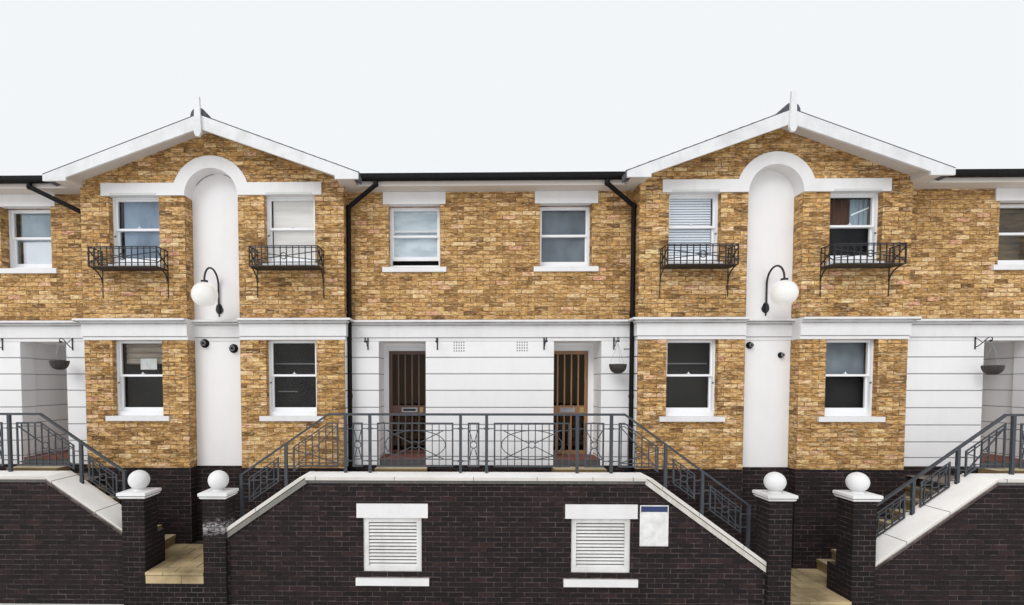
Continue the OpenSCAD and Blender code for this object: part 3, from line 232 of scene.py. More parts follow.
def stone(name, colour, dark, scale=18, grime=0.45, upright_shade_and_stain=None):
    """Speckled stone. The upright tint darkens the faces that stand up: painted shade, and on the sandstone
    also stains.
    """
    s = Shader(name, 0.85)
    base = s.mix(s.ramp(s.noise(scale*0.12, 5), (0.42, 0.0), (0.72, grime)), colour, dark)
    base = s.mix(0.35, base, s.ramp(s.noise(scale*6, 4, 0.7), (0.35, 0.38), (0.65, 0.62)), "OVERLAY")
    if upright_shade_and_stain:
        facing = s.axis("Z", s.node("NewGeometry").outputs["Normal"])
        base = s.mix(s.ramp(facing, (0.08, 1.0), (0.45, 0.0)), base, upright_shade_and_stain, "MULTIPLY")
    s.colour(base)
    s.bump(s.noise(scale*8, 5, 0.65), 0.35)


def stained(name, *stops):
    """Weathered stone whose colour follows the face attribute tone, darker for stains and painted shade."""
    s = Shader(name, 0.9)
    run = s.noise(1.0, 5, 0.65, (16, 16, 3))
    s.colour(s.mix(0.5, s.ramp(s.tone(), *stops), s.ramp(run, (0.34, 0.30), (0.66, 0.64)), "OVERLAY"))
    s.bump(s.noise(120, 4), 0.3)


def iron(name, colour, worn, roughness, **sockets):
    s = Shader(name, roughness, **sockets)
    s.colour(s.mix(s.ramp(s.noise(9, 5), (0.52, 0.0), (0.78, 0.55)), colour, worn))
    s.rough(s.noise(22, 3), roughness - 0.08, roughness + 0.16)
    s.bump(s.noise(60, 3), 0.15, 0.001)


def wood(name, light, dark, roughness=0.4):
    s = Shader(name, roughness, Coat_Weight=0.25, Coat_Roughness=0.2)
    grain = s.noise(2.2, 7, 0.65, (26, 26, 1.4))
    base = s.ramp(grain, (0.30, dark), (0.52, light), (0.74, dark))
    s.colour(s.mix(s.ramp(s.noise(2.5, 3), (0.45, 0.0), (0.8, 0.5)), base, dark))
    s.bump(grain, 0.25, 0.0015)


def glass(name, mirror, see_through, least, waves=0.02, dim_from=None):
    """Panes: clear glass, and the sky's reflection that grows towards grazing views.

    From dim_from on, towards the right end of the row, the panes mirror less. The lower
    storey mirrors warmer and darker than the upper one, and the mirror is patchy: painted reflection.
    """
    s = Shader(name, 0.03, metallic=1.0)
    base = s.mix(s.ramp(s.noise(1.3, 3), (0.35, 0.0), (0.7, 1.0)), mirror, linear(mirror, 0.72))
    storey = s.ramp(s.math("MULTIPLY", s.axis("Z"), 0.1), (0.40, (226, 214, 200)), (0.47, 1.0))
    s.colour(s.mix(1.0, base, storey, "MULTIPLY"))
    s.bump(s.noise(3.5, 2), waves, 0.01)
    shine = s.math("MULTIPLY", s.node("Fresnel", {"IOR": 1.6}).outputs[0], 0.42)
    if dim_from is not None:
        dim = s.math("MULTIPLY", s.math("SUBTRACT", s.axis("X"), dim_from), 0.9, clamp=True)
        shine = s.math("MULTIPLY", shine, s.math("SUBTRACT", 1.0, s.math("MULTIPLY", dim, 0.90)))
    pane = s.node("MixShader", {0: s.math("ADD", shine, least, clamp=True),
                                1: s.node("BsdfTransparent", {"Color": see_through}).outputs[0],
                                2: s.bsdf.outputs[0]})
    s.tree.links.new(pane.outputs[0], s.tree.nodes["Material Output"].inputs["Surface"])


def cloth(name, light, dark, folds, see=0.5, painted_glow=0.0):
    """Curtains, nets and blinds with soft folds, painted lighter and darker along them; the glow is painted
    light for daylight through the cloth.
    """
    s = Shader(name, 0.9, Emission_Color=light, Emission_Strength=painted_glow)
    wave = s.noise(1.0, 3, 0.5, folds)
    s.colour(s.mix(s.ramp(wave, (0.36, 0.0), (0.66, 1.0)), light, dark))
    s.bump(wave, see, 0.01)


YELLOW = ((0.00, (110, 80, 48)), (0.07, (146, 110, 66)), (0.50, (178, 138, 84)),
          (0.84, (196, 158, 104)), (0.95, (216, 184, 138)), (1.00, (196, 146, 116)))
DARK = ((0.00, (27, 20, 21)), (0.50, (33, 25, 26)), (0.88, (40, 29, 29)), (1.00, (50, 35, 34)))
BLACK = [(at, linear(colour, 0.62)) for at, colour in DARK]

brick("yellow_bricks", YELLOW, (92, 64, 38), 0.85, 0.85, 0.6, cream=(226, 202, 162))
brick("dark_bricks", DARK, (20, 17, 18), 0.4, 0.3, 0.3)
brick("black_bricks", BLACK, (14, 12, 13), 0.4, 0.3, 0.3)
brick("limed_bricks", BLACK, (14, 12, 13), 0.4, 0.3, 0.3, lime=(1.04, 1.34))
mortar("yellow_mortar", (164, 128, 86), (88, 64, 40))
mortar("dark_mortar", (102, 90, 88), (54, 45, 45))
# dark colour of open joints, also used for painted shadow on the vents, caps and copings
mortar("joint_dirt_and_shade", (92, 84, 76), (58, 52, 48))
painted("white_render", (233, 232, 232), (206, 205, 204), 0.75)
painted("groove_shade", (150, 150, 152), (110, 108, 106), 0.9)
# porch render is paler than white_render: painted light inside the deep porches
painted("porch_render", (249, 248, 246), (226, 224, 221), 0.8)
painted("white_trim", (225, 224, 224), (186, 183, 178), 0.6, 0.2)
painted("white_joinery", (238, 239, 241), (206, 204, 200), 0.35, 0.10, 0.05)
# barge paint is a darker copy of the white joinery paint: painted shade, with more streaks of dirt
painted("barge_paint", (220, 221, 222), (164, 162, 158), 0.5, 0.35, 0.1)
painted("soffit_paint", (206, 198, 190), (172, 164, 156), 0.7)
painted("cornice_shade", (148, 148, 150), (66, 62, 58), 0.85, 0.8)
painted("pale_strip", (204, 206, 204), (168, 168, 166), 0.7)
painted("dark_render", (82, 81, 82), (60, 58, 60), 0.85, 0.3)
painted("white_louvre", (222, 222, 220), (168, 164, 158), 0.5, 0.4)
painted("grey_shelf", (128, 128, 130), (92, 92, 94))
painted("vent_shade", (118, 118, 122), (88, 88, 92), 0.9)
stone("floor_screed", (150, 146, 140), (110, 106, 100))
stone("roof_slate", (92, 94, 100), (64, 64, 70), 10, 0.8)
stone("paving", (124, 112, 102), (84, 74, 68))
stone("sandstone", (196, 178, 144), (96, 84, 58), upright_shade_and_stain=(176, 164, 140))
stone("landing_stone", (188, 168, 128), (84, 72, 46), 14, 0.85)
# pale stone: very pale tops and a darker tint on its standing faces, painted light and painted shade
stone("pale_stone", (252, 250, 246), (202, 197, 188), 12, 0.35, upright_shade_and_stain=(212, 209, 206))
stone("cap_stone", (226, 226, 226), (172, 170, 166), 16, 0.5)
stone("red_tile", (124, 70, 54), (86, 50, 40), 20, 0.6)
stained("stained_shaded_stone", (0.0, (82, 79, 77)), (0.5, (124, 121, 115)), (1.0, (208, 203, 196)))
iron("black_plastic", (12, 10, 11), (24, 21, 22), 0.6, Specular_IOR_Level=0.2)
iron("black_iron", (26, 28, 34), (44, 45, 50), 0.5)
iron("grey_iron", (56, 61, 67), (80, 83, 88), 0.45)
iron("worn_brass", (176, 148, 96), (120, 96, 60), 0.35)
iron("dull_steel", (150, 152, 156), (108, 108, 110), 0.35)
iron("blue_enamel", (38, 54, 98), (32, 44, 78), 0.4)
wood("dark_mahogany", (90, 52, 34), (50, 28, 22))
wood("red_mahogany", (156, 112, 68), (108, 70, 42))
wood("wicker", (72, 65, 60), (30, 27, 25), 0.8)
glass("window_glass", (226, 232, 240), (254, 255, 255), 0.0, dim_from=4.2)
glass("door_glass", (152, 140, 126), (96, 88, 80), 0.09, 0.3)
cloth("room_shadow", (42, 40, 40), (18, 17, 18), (2.0, 2.0, 1.4))
cloth("net_curtain", (214, 224, 230), (186, 198, 206), (3, 3, 7), 0.2, 0.06)
cloth("white_net", (240, 243, 246), (222, 226, 230), (4, 4, 2), 0.2, 0.22)
cloth("blue_film", (150, 168, 188), (104, 120, 140), (2.6, 2.6, 1.2), 1.0, 0.03)
cloth("teal_film", (146, 164, 172), (112, 130, 140), (2.6, 2.6, 0.8), 0.4, 0.02)
cloth("dim_net", (168, 184, 194), (118, 134, 146), (9, 9, 1.2), 0.4, 0.02)
cloth("grey_film", (122, 130, 138), (98, 105, 112), (3, 3, 2), 0.3)
cloth("blind_slats", (234, 238, 245), (212, 217, 225), (0.8, 0.8, 9), 0.2, 0.15)
cloth("lit_blind", (234, 228, 223), (212, 206, 201), (0.8, 0.8, 9), 0.2, 0.15)
cloth("beige_cloth", (186, 174, 160), (140, 128, 114), (1.5, 1.5, 16), 0.3)
cloth("paper", (228, 228, 226), (206, 206, 204), (9, 9, 9), 0.1)
cloth("brown_curtain", (104, 70, 54), (54, 36, 28), (9, 9, 1.2))
cloth("brown_cloth", (96, 80, 56), (50, 42, 30), (2.4, 2.4, 13))

# the opal globes glow a little: painted light that evens out their shading
globe = Shader("opal_glass", 0.18, Coat_Weight=0.4, Subsurface_Weight=0.15,
               Emission_Color=(240, 239, 235), Emission_Strength=0.40)
globe.colour(globe.mix(globe.ramp(globe.noise(3, 4), (0.5, 0.0), (0.85, 0.5)), (194, 193, 189),
                       (168, 165, 158)))

NODE_MATERIALS = {
    "yellow_mortar": "cross_walls rear_wall gable_walls gable_heads recess_walls",
    "dark_mortar": "plinth street_walls pillars stair_bases",
    "white_render": "rendered_piers rendered_heads niche_panels",
    "porch_render": "porch_linings",
    "white_trim": "cornice arch_bands lintels sills",
    "white_joinery": "window_frames sashes door_frames",
    "barge_paint": "barge_boards",
    "soffit_paint": "eaves",
    "floor_screed": "floors",
    "window_glass": "glazing",
    "door_glass": "door_left_glass door_right_glass",
    "dark_mahogany": "door_left outer_doors",
    "red_mahogany": "door_right",
    "roof_slate": "roof_front roof_rear cross_roofs ridges",
    "black_plastic": "gutters downpipes",
    "black_iron": "balconettes lamp_arms",
    "opal_glass": "lamp_globes",
    "paving": "platforms",
    "sandstone": "steps_of_stone",
    "pale_stone": "copings pillar_caps",
    "grey_iron": "railings balustrade_panels",
    "white_louvre": "louvre_vents",
}
for material, nodes in NODE_MATERIALS.items():
    for name in nodes.split():
        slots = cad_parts[name].data.materials
        slots.clear()
        slots.append(MATERIALS[material])


# mesh building
class Skin:
    """Collects extruded polygons with a tone per face, and makes one piece of them."""

    def __init__(self, name, material, body="houses", slot=None):
        self.name, self.material, self.body, self.slot = name, material, body, slot
        self.verts, self.faces, self.tones = [], [], []

    def prism(self, outline, tone=0.5, back=None):
        """Front polygon of 3-D points, with sides that run to back (a vector) behind it."""
        start, n = len(self.verts), len(outline)
        outline = [Vector(p) for p in outline]
        self.verts += outline
        self.faces.append(tuple(range(start, start + n)))
        self.tones.append(tone)
        if back is not None:
            self.verts += [p + Vector(back) for p in outline]
            for i in range(n):
                j = (i + 1) % n
                self.faces.append((start + j, start + i, start + n + i, start + n + j))
                self.tones.append(tone)

    def box(self, lo, hi, tone=0.5):
        """Box between two corners, of which either may be the left one."""
        x0, x1 = sorted((lo[0], hi[0]))
        y0, z0 = lo[1:]
        y1, z1 = hi[1:]
        s = len(self.verts)
        self.verts += [(x0, y0, z0), (x1, y0, z0), (x1, y1, z0), (x0, y1, z0),
                       (x0, y0, z1), (x1, y0, z1), (x1, y1, z1), (x0, y1, z1)]
        for f in ((0, 3, 2, 1), (4, 5, 6, 7), (0, 1, 5, 4), (1, 2, 6, 5), (2, 3, 7, 6), (3, 0, 4, 7)):
            self.faces.append(tuple(s + i for i in f))
            self.tones.append(tone)

    def rings(self, rows):
        """Skin over rings of points, closed at both ends."""
        start, n = len(self.verts), len(rows[0])
        for row in rows:
            self.verts += row
        for i in range(len(rows) - 1):
            q = start + i*n
            for k in range(n):
                j = (k + 1) % n
                self.faces.append((q + k, q + j, q + n + j, q + n + k))
        self.faces.append(tuple(start + k for k in reversed(range(n))))
        self.faces.append(tuple(start + (len(rows) - 1)*n + k for k in range(n)))
        self.tones += [0.5]*((len(rows) - 1)*n + 2)

    def tube(self, points, radius, n=8, ref=(1, 0, 0)):
        """Round bar along a path. ref is a direction that the path never follows."""
        pts = [Vector(p) for p in points]
        rows = []
        for i, p in enumerate(pts):
            d = (pts[min(i + 1, len(pts) - 1)] - pts[max(i - 1, 0)]).normalized()
            a = d.cross(Vector(ref)).normalized()
            b = d.cross(a)
            rows.append([p + (a*math.cos(t) + b*math.sin(t))*radius for t in turns(n)])
        self.rings(rows)

    def turn(self, centre, profile, axis=(0, 0, 1), n=24):
        """Turned form. profile holds (distance along the axis, radius)."""
        w = Vector(axis).normalized()
        a = w.orthogonal().normalized()
        b = w.cross(a)
        self.rings([[Vector(centre) + w*h + (a*math.cos(t) + b*math.sin(t))*q for t in turns(n)]
                    for h, q in profile])

    def make(self, bevel=0.0, smooth=False):
        mesh = bpy.data.meshes.new(self.name)
        mesh.from_pydata([tuple(v) for v in self.verts], [], self.faces)
        tone = mesh.attributes.new("tone", "FLOAT", "FACE")
        tone.data.foreach_set("value", self.tones)
        mesh.materials.append(MATERIALS[self.material])
        mesh.update()
        if smooth:
            mesh.shade_smooth()
        piece = bpy.data.objects.new(self.name, mesh)
        bpy.context.scene.collection.objects.link(piece)
        if bevel:
            mod = piece.modifiers.new("edge", "BEVEL")
            mod.width = bevel
            mod.segments = 2
            mod.limit_method = "ANGLE"
        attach(piece, self.body)
        return piece


def turns(n, count=None):
    """Angles of n equal steps round a circle."""
    return [2*math.pi*k/n for k in range(count or n)]


def clip(poly, a, b, c):
    """The part of a convex polygon where a*u + b*v <= c."""
    out = []
    for i, (u, v) in enumerate(poly):
        u2, v2 = poly[(i + 1) % len(poly)]
        d, d2 = a*u + b*v - c, a*u2 + b*v2 - c
        if d <= 0:
            out.append((u, v))
        if (d < 0 < d2) or (d2 < 0 < d):
            t = d/(d - d2)
            out.append((u + t*(u2 - u), v + t*(v2 - v)))
    return out


def minus(rects, hole):
    """Rectangles (u0, v0, u1, v1) with one hole taken out of them."""
    h0, k0, h1, k1 = hole
    out = []
    for u0, v0, u1, v1 in rects:
        if h0 >= u1 or h1 <= u0 or k0 >= v1 or k1 <= v0:
            out.append((u0, v0, u1, v1))
            continue
        a, b = max(v0, k0), min(v1, k1)
        out += [(u0, v0, u1, k0)] if k0 > v0 else []
        out += [(u0, k1, u1, v1)] if k1 < v1 else []
        out += [(u0, a, h0, b)] if h0 > u0 else []
        out += [(h1, a, u1, b)] if h1 < u1 else []
    return out


class Face:
    """A flat face: where it starts, the way along it, the way out of it and the way up it."""

    def __init__(self, origin, along, out, up=(0, 0, 1)):
        self.o, self.u, self.n, self.v = Vector(origin), Vector(along), Vector(out), Vector(up)

    def point(self, u, v, d):
        return self.o + self.u*u + self.v*v + self.n*d


def street_face(x, y):
    """Wall face towards the street, measured from x."""
    return Face((x, y, 0), (1, 0, 0), (0, -1, 0))


def rear_face(y):
    return Face((0, y, 0), (-1, 0, 0), (0, 1, 0))


def side_face(x, y, t):
    """Wall face towards the left or right, measured back from y."""
    return Face((x, y, 0), (0, 1, 0), (t, 0, 0))


def floor_face(x, z):
    return Face((x, 0, z), (1, 0, 0), (0, 0, 1), (0, 1, 0))


def lay(skin, face, area, holes=(), cuts=(), unit=BRICK, joint=JOINT, proud=0.004,
        tilt=0.0, shift=0.0, bond=0.5, least=0.018, keep=None):
    """Lays bricks, tiles or slabs on a face.

    area is (u0, v0, u1, v1), holes are rectangles in it and cuts are half planes (a, b, c) that
    keep a*u + b*v <= c. tilt lifts the lower edge, as on overlapping slates. Bricks get uneven edges.
    """
    u0, v0, u1, v1 = area
    length, course = unit
    uneven = 0.0025 if unit == BRICK else 0.0
    pitch = length + joint
    row = math.floor((v0 + 1e-6)/course)
    while row*course < v1 - 1e-6:
        low, high = row*course, (row + 1)*course - joint
        near = [h for h in holes if h[1] < high and h[3] > low]
        start = shift + (row % 2)*bond*pitch
        row += 1
        k = math.floor((u0 - start)/pitch) - 1
        while start + k*pitch < u1:
            a = start + k*pitch
            k += 1
            rects = [(max(a, u0), max(low, v0), min(a + length, u1), min(high, v1))]
            if rects[0][2] - rects[0][0] < least or rects[0][3] - rects[0][1] < least*0.7:
                continue
            tone = rng.random()
            step = rng.uniform(-0.0015, 0.0015)
            if keep and not keep(a + length/2, (low + high)/2):
                continue
            for h in near:
                rects = minus(rects, (h[0] - joint*0.3, h[1] - joint*0.6,
                                      h[2] + joint*0.3, h[3] + joint*0.6))
            for r in rects:
                if r[2] - r[0] < least or r[3] - r[1] < least*0.7:
                    continue
                poly = [(r[0], r[1]), (r[2], r[1]), (r[2], r[3]), (r[0], r[3])]
                for cut in cuts:
                    poly = clip(poly, *cut) if len(poly) > 2 else []
                if len(poly) < 3:
                    continue
                skin.prism([face.point(u + uneven*rng.uniform(-1, 1), v + uneven*rng.uniform(-1, 1),
                                       proud + step + tilt*(high - v)/course) for u, v in poly],
                           tone, face.n*(-(proud + step) - 0.002))


def jambs(skin, x, y, half, depth, z0, z1, unit=(0.5, COURSE), shift=-0.1):
    """Brick reveals on both sides of an opening in a street face."""
    for t in SIDES:
        lay(skin, side_face(x + t*half, y, -t), (0.003, z0, depth - 0.002, z1),
            unit=unit, shift=shift, proud=0.003)


def window_holes(x, w, rows, lintel=True):
    """Window openings with their sills and lintels. rows holds (sill, head, the sill's overhang)."""
    holes = []
    for foot, head, ear in rows:
        holes.append((x - w/2, foot - SILL_H, x + w/2, head))
        holes.append((x - w/2 - ear, foot - SILL_H, x + w/2 + ear, foot))
        if lintel:
            holes.append((x - w/2 - LINTEL_EAR, head, x + w/2 + LINTEL_EAR, head + LINTEL_H))
    return holes


def lobby_of(p):
    """Middle of the lobby behind the porch at p, and how far back it reaches."""
    toward = -1 if p < -HOUSE_W or 0 < p < HOUSE_W else 1
    return p + toward*(LOBBY_HALF - PORCH_W/2), OUTER_PORCH_D if abs(p) > HOUSE_W else PORCH_D


def between_gateways(reach):
    """Stretches of the street front that end reach[side] away from the middle of each gateway."""
    return ((END_L, -HOUSE_W - reach[-1]), (-HOUSE_W + reach[-1], HOUSE_W - reach[1]),
            (HOUSE_W + reach[1], END_R))


# brickwork
def wall(name, kind, face, area, **how):
    """One stretch of a wall face as a piece of its own."""
    skin = Skin(name, kind + "_bricks", slot=kind + "_brick")
    lay(skin, face, area, **how)
    skin.make()


def gable_front(side):
    skin = Skin("gable_bricks_" + SIDE_NAMES[side], "yellow_bricks", slot="yellow_brick")
    c = side*HOUSE_W
    face = street_face(c, GABLE_Y)
    top, peak = GABLE_HEAD_Z + LINTEL_H, RIDGE_Z - ROOF_V - 0.004
    holes = [(-NICHE_R, PLINTH_Z, NICHE_R, GABLE_HEAD_Z), (-GABLE_HALF, HEAD_Z, GABLE_HALF, CORNICE_Z),
             (-BAND_HALF, GABLE_HEAD_Z, BAND_HALF, top)]
    for t in SIDES:
        holes += window_holes(t*GABLE_WIN_X, GABLE_WIN_W, ((LOWER_SILL_Z, HEAD_Z, SILL_EAR),
                                                           (UPPER_SILL_Z, GABLE_HEAD_Z, UPPER_SILL_EAR)),
                              lintel=False)

    def outside_arch(u, v):
        return math.hypot(u, v - GABLE_HEAD_Z) > ARCH_OUT - ARCH_TUCK

    lay(skin, face, (-GABLE_HALF, PLINTH_Z, GABLE_HALF, top), holes)
    # over the level band: bricks round the arch and up to the roof slopes
    lay(skin, face, (-GABLE_HALF, top, GABLE_HALF, peak), (), ((SLOPE, 1, peak), (-SLOPE, 1, peak)),
        keep=outside_arch)
    # reveals of the windows and of the niche
    for t in SIDES:
        for z0, z1 in ((LOWER_SILL_Z, HEAD_Z), (UPPER_SILL_Z, GABLE_HEAD_Z)):
            jambs(skin, c + t*GABLE_WIN_X, GABLE_Y, GABLE_WIN_W/2, REVEAL, z0, z1)
    for z0, z1 in ((PLINTH_Z, HEAD_Z), (CORNICE_Z, GABLE_HEAD_Z)):
        jambs(skin, c, GABLE_Y, NICHE_R, NICHE_D, z0, z1, BRICK, -0.11)
    # returns of the bay over the cornice
    for t in SIDES:
        lay(skin, side_face(c + t*GABLE_HALF, GABLE_Y, t), (0.002, CORNICE_Z, -GABLE_Y, SOFFIT_Z),
            shift=BRICK_L/2)
    skin.make()


for side in SIDES:
    gable_front(side)

recess = Skin("recess_bricks", "yellow_bricks", slot="yellow_brick")
recess_holes = [h for x in RECESS_WINS
                for h in window_holes(x, RECESS_WIN_W, ((UPPER_SILL_Z, RECESS_HEAD_Z, RECESS_SILL_EAR),))]
for x0, x1 in RECESSES:
    lay(recess, street_face(0, 0), (x0, CORNICE_Z, x1, SOFFIT_Z), recess_holes)
for x in RECESS_WINS:
    jambs(recess, x, 0, RECESS_WIN_W/2, RECESS_REVEAL, UPPER_SILL_Z, RECESS_HEAD_Z)
recess.make()

# rear wall, with two windows a storey in each house, and plain end walls
rear_holes = []
for a, b in ((END_L + WALL_T, -HOUSE_W - PARTY_HALF), (-HOUSE_W + PARTY_HALF, -PARTY_HALF),
             (PARTY_HALF, HOUSE_W - PARTY_HALF), (HOUSE_W + PARTY_HALF, END_R - WALL_T)):
    for t in SIDES:
        rear_holes += window_holes(-((a + b)/2 + t*(b - a)/4), REAR_WIN_W,
                                   ((LOWER_SILL_Z, HEAD_Z, SILL_EAR),
                                    (UPPER_SILL_Z, RECESS_HEAD_Z, SILL_EAR)))
wall("rear_base_bricks", "dark", rear_face(REAR_Y), (-END_R, 0, -END_L, PLINTH_Z))
wall("rear_bricks", "yellow", rear_face(REAR_Y), (-END_R, PLINTH_Z, -END_L, UNDER_ROOF - 0.01),
     holes=rear_holes)
for t, x in ((-1, END_L), (1, END_R)):
    foot = UNDER_ROOF - 0.004
    wall("end_bricks_" + SIDE_NAMES[t], "yellow", side_face(x, 0, t),
         (0, PLINTH_Z, REAR_Y, foot + REAR_Y/2*SLOPE),
         cuts=((-SLOPE, 1, foot), (SLOPE, 1, foot + REAR_Y*SLOPE)), shift=BRICK_L/2)
    wall("end_base_bricks_" + SIDE_NAMES[t], "dark", side_face(x, 0, t), (0, 0, REAR_Y, PLINTH_Z),
         shift=BRICK_L/2)

# dark base, street walls and pillars
base = Skin("base_bricks", "dark_bricks", slot="dark_brick")
for side in SIDES:
    c, foot = side*HOUSE_W, LANDING_Z[side]
    lay(base, street_face(c, GABLE_Y), (-GABLE_HALF, foot, GABLE_HALF, PLINTH_Z),
        [(-NICHE_R, 0, NICHE_R, PLINTH_Z)])
    lay(base, street_face(c, GABLE_Y + PLINTH_NICHE_D), (-NICHE_R, foot, NICHE_R, PLINTH_Z))
    jambs(base, c, GABLE_Y, NICHE_R, PLINTH_NICHE_D, foot, PLINTH_Z, BRICK, -0.11)
    for t in SIDES:
        lay(base, side_face(c + t*GABLE_HALF, GABLE_Y, t),
            (0.002, PLATFORM_Z, -GABLE_Y + PLINTH_Y, PLINTH_Z), shift=BRICK_L/2)
for x0, x1 in RECESSES:
    lay(base, street_face(0, PLINTH_Y), (x0, PLATFORM_Z, x1, PLINTH_Z))
base.make()

street = Skin("street_wall_bricks", "dark_bricks", slot="dark_brick")
vent_holes = []
for c in VENTS:
    half = VENT_W/2
    vent_holes += [(c - half, VENT_FOOT, c + half, VENT_TOP),
                   (c - half - LINTEL_EAR, VENT_TOP, c + half + LINTEL_EAR, VENT_TOP + LINTEL_H),
                   (c - half - VENT_SILL_EAR, VENT_FOOT - 0.2, c + half + VENT_SILL_EAR, VENT_FOOT - 0.09)]
gate_out = GATE_W/2 + PILLAR_W
under = COPING_Z - COPING_T - 0.003
stretches = between_gateways({-1: gate_out, 1: gate_out})
for (x0, x1), left, right in zip(stretches, (None, -1, 1), (-1, 1, None)):
    cuts = []
    if left is not None:
        cuts.append((-FALL[left], 1, under - FALL[left]*(left*HOUSE_W + COPING_BEND[left])))
    if right is not None:
        cuts.append((FALL[right], 1, under + FALL[right]*(right*HOUSE_W - COPING_BEND[right])))
    lay(street, street_face(0, STREET_Y), (x0, 0, x1, under), vent_holes, cuts)
    lay(street, rear_face(STREET_IN), (-x1, 0, -x0, under), (), [(-a, b, c) for a, b, c in cuts])
street.make()

# painted shadow in the gaps between the slats of the vents, a dark strip under each slat
meshes = Skin("louvre_slat_shadows", "joint_dirt_and_shade", slot="white_louvre")
for c in VENTS:
    half = VENT_W/2 - VENT_RAIL - 0.001
    for i in range(1, VENT_GAPS + 1):
        z = VENT_FOOT + VENT_RAIL + i*((VENT_TOP - VENT_FOOT - 2*VENT_RAIL)/VENT_GAPS)
        meshes.box((c - half, STREET_Y + 0.048, z - 0.019), (c + half, STREET_Y + 0.050, z - 0.002))
meshes.make()

gate_bricks = Skin("pillar_bricks", "black_bricks", slot="dark_brick")
limed_bricks = Skin("limed_pillar_bricks", "limed_bricks", slot="dark_brick")
pillar_heads = Skin("pillar_heads", "dark_mortar", slot="dark_brick")
for side, t in CORNERS:
    x, h, back = side*HOUSE_W + t*(GATE_W + PILLAR_W)/2, PILLAR_W/2, PILLAR_Y + PILLAR_W
    pillar_heads.box((x - h + 0.001, PILLAR_Y + 0.001, PILLAR_Z - 0.01),
                     (x + h - 0.001, back - 0.001, CAP_Z))
    # the end of the street wall beside the gateway
    top = COPING_Z - (COPING_BEND[side] - GATE_W/2 - PILLAR_W)*FALL[side] - COPING_T - 0.003
    lay(gate_bricks, side_face(side*HOUSE_W + t*GATE_W/2, back, -t),
        (0.004, LANDING_Z[side], STREET_IN - back, top), unit=SHORT_BRICK)
    for face in (street_face(x - h, PILLAR_Y), side_face(x + h, PILLAR_Y, 1), side_face(x - h, PILLAR_Y, -1),
                 Face((x - h, back, 0), (1, 0, 0), (0, 1, 0))):
        lay(limed_bricks if side < 0 < t else gate_bricks, face, (0, 0, PILLAR_W, CAP_Z), unit=SHORT_BRICK)
gate_bricks.make()
limed_bricks.make()

caps = Skin("cap_stones", "cap_stone", slot="pale_stone")
balls = Skin("cap_balls", "cap_stone", slot="pale_stone")
drip_shadows = Skin("cap_drip_shadows", "joint_dirt_and_shade", slot="pale_stone")
LOWER_COURSE = ((0.182, 0.0), (0.190, 0.010), (0.200, 0.014), (0.200, 0.038))    # half width, height
UPPER_COURSE = ((0.214, 0.045), (0.214, 0.086), (0.206, 0.092), (0.130, 0.096))
for side, t in CORNERS:
    x, y = side*HOUSE_W + t*(GATE_W + PILLAR_W)/2, PILLAR_Y + PILLAR_W/2
    for course in (LOWER_COURSE, UPPER_COURSE):
        caps.rings([[(x + half*a, y + half*b, CAP_Z + z) for a, b in ((-1, -1), (1, -1), (1, 1), (-1, 1))]
                    for half, z in course])
    # a dark strip between the two courses: painted shadow under the upper one
    drip_shadows.box((x - 0.2045, y - 0.2045, CAP_Z + 0.0345), (x + 0.2045, y + 0.2045, CAP_Z + 0.046))
    balls.turn((x, y, CAP_Z + 0.090), ((0, 0.090), (0.010, 0.090), (0.018, 0.082), (0.026, 0.070),
                                       (0.034, 0.062)), n=32)
    balls.turn((x, y, BALL_Z), [(-BALL_R*math.cos(a), max(BALL_R*math.sin(a), 0.002))
                                for a in (math.pi*k/20 for k in range(21))], n=36)
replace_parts(caps.make(bevel=0.001), "pillar_caps")
balls.make(smooth=True)
drip_shadows.make()


# rendered faces and cornice
def along_fronts(skin, near, far, low, high, corner, stop):
    """A level strip near to far off every street face, round the bays and niches.

    It runs corner past the edges of a bay, and its returns end stop before the recessed faces.
    """
    for x0, x1 in RECESSES:
        skin.box((x0, -far, low), (x1, -near, high))
    for side in SIDES:
        c, y = side*HOUSE_W, GABLE_Y + NICHE_D
        for t in SIDES:
            skin.box((c + t*NICHE_R, GABLE_Y - far, low),
                     (c + t*(GABLE_HALF + corner), GABLE_Y - near, high))
            skin.box((c + t*(GABLE_HALF + near), GABLE_Y - corner, low),
                     (c + t*(GABLE_HALF + far), -stop, high))
        skin.box((c - NICHE_R, y - far, low), (c + NICHE_R, y - near, high))


GROOVES = (HEAD_Z, 3.760, 3.470, 3.180, 2.880, 2.580, 2.285, 2.010, PLINTH_Z)
GROOVE, PROUD = 0.018, 0.014
rustic = Skin("rusticated_render", "white_render", slot="white_render")
sunk = Skin("render_joints", "groove_shade", slot="white_render")
for x0, x1 in RECESSES:
    edges = [x0] + [e for p in PORCHES for e in (p - PORCH_W/2, p + PORCH_W/2) if x0 < e < x1] + [x1]
    for a, b in zip(edges[::2], edges[1::2]):
        for top, low in zip(GROOVES, GROOVES[1:]):
            rustic.box((a, -PROUD, low + GROOVE/2), (b, 0.002, top - GROOVE/2))
            sunk.box((a, -0.001, low - GROOVE/2), (b, 0.001, low + GROOVE/2))
for side, t in CORNERS:
    x = side*HOUSE_W + t*GABLE_HALF
    for top, low in zip(GROOVES, GROOVES[1:]):
        rustic.box((min(x, x + t*PROUD) - 0.001, GABLE_Y + 0.02, low + GROOVE/2),
                   (max(x, x + t*PROUD), 0, top - GROOVE/2))
# the joints run on round the porch jambs and along the lobby walls
for p in PORCHES:
    lobby, deep = lobby_of(p)
    for t in SIDES:
        for z in GROOVES[1:-1]:
            for x, y0, y1 in ((p + t*PORCH_W/2, 0, WALL_T), (lobby + t*LOBBY_HALF, WALL_T, deep)):
                sunk.box((x + t*0.001, y0, z - 0.007), (x - t*0.0015, y1, z + 0.007))
rustic.make(bevel=0.003)
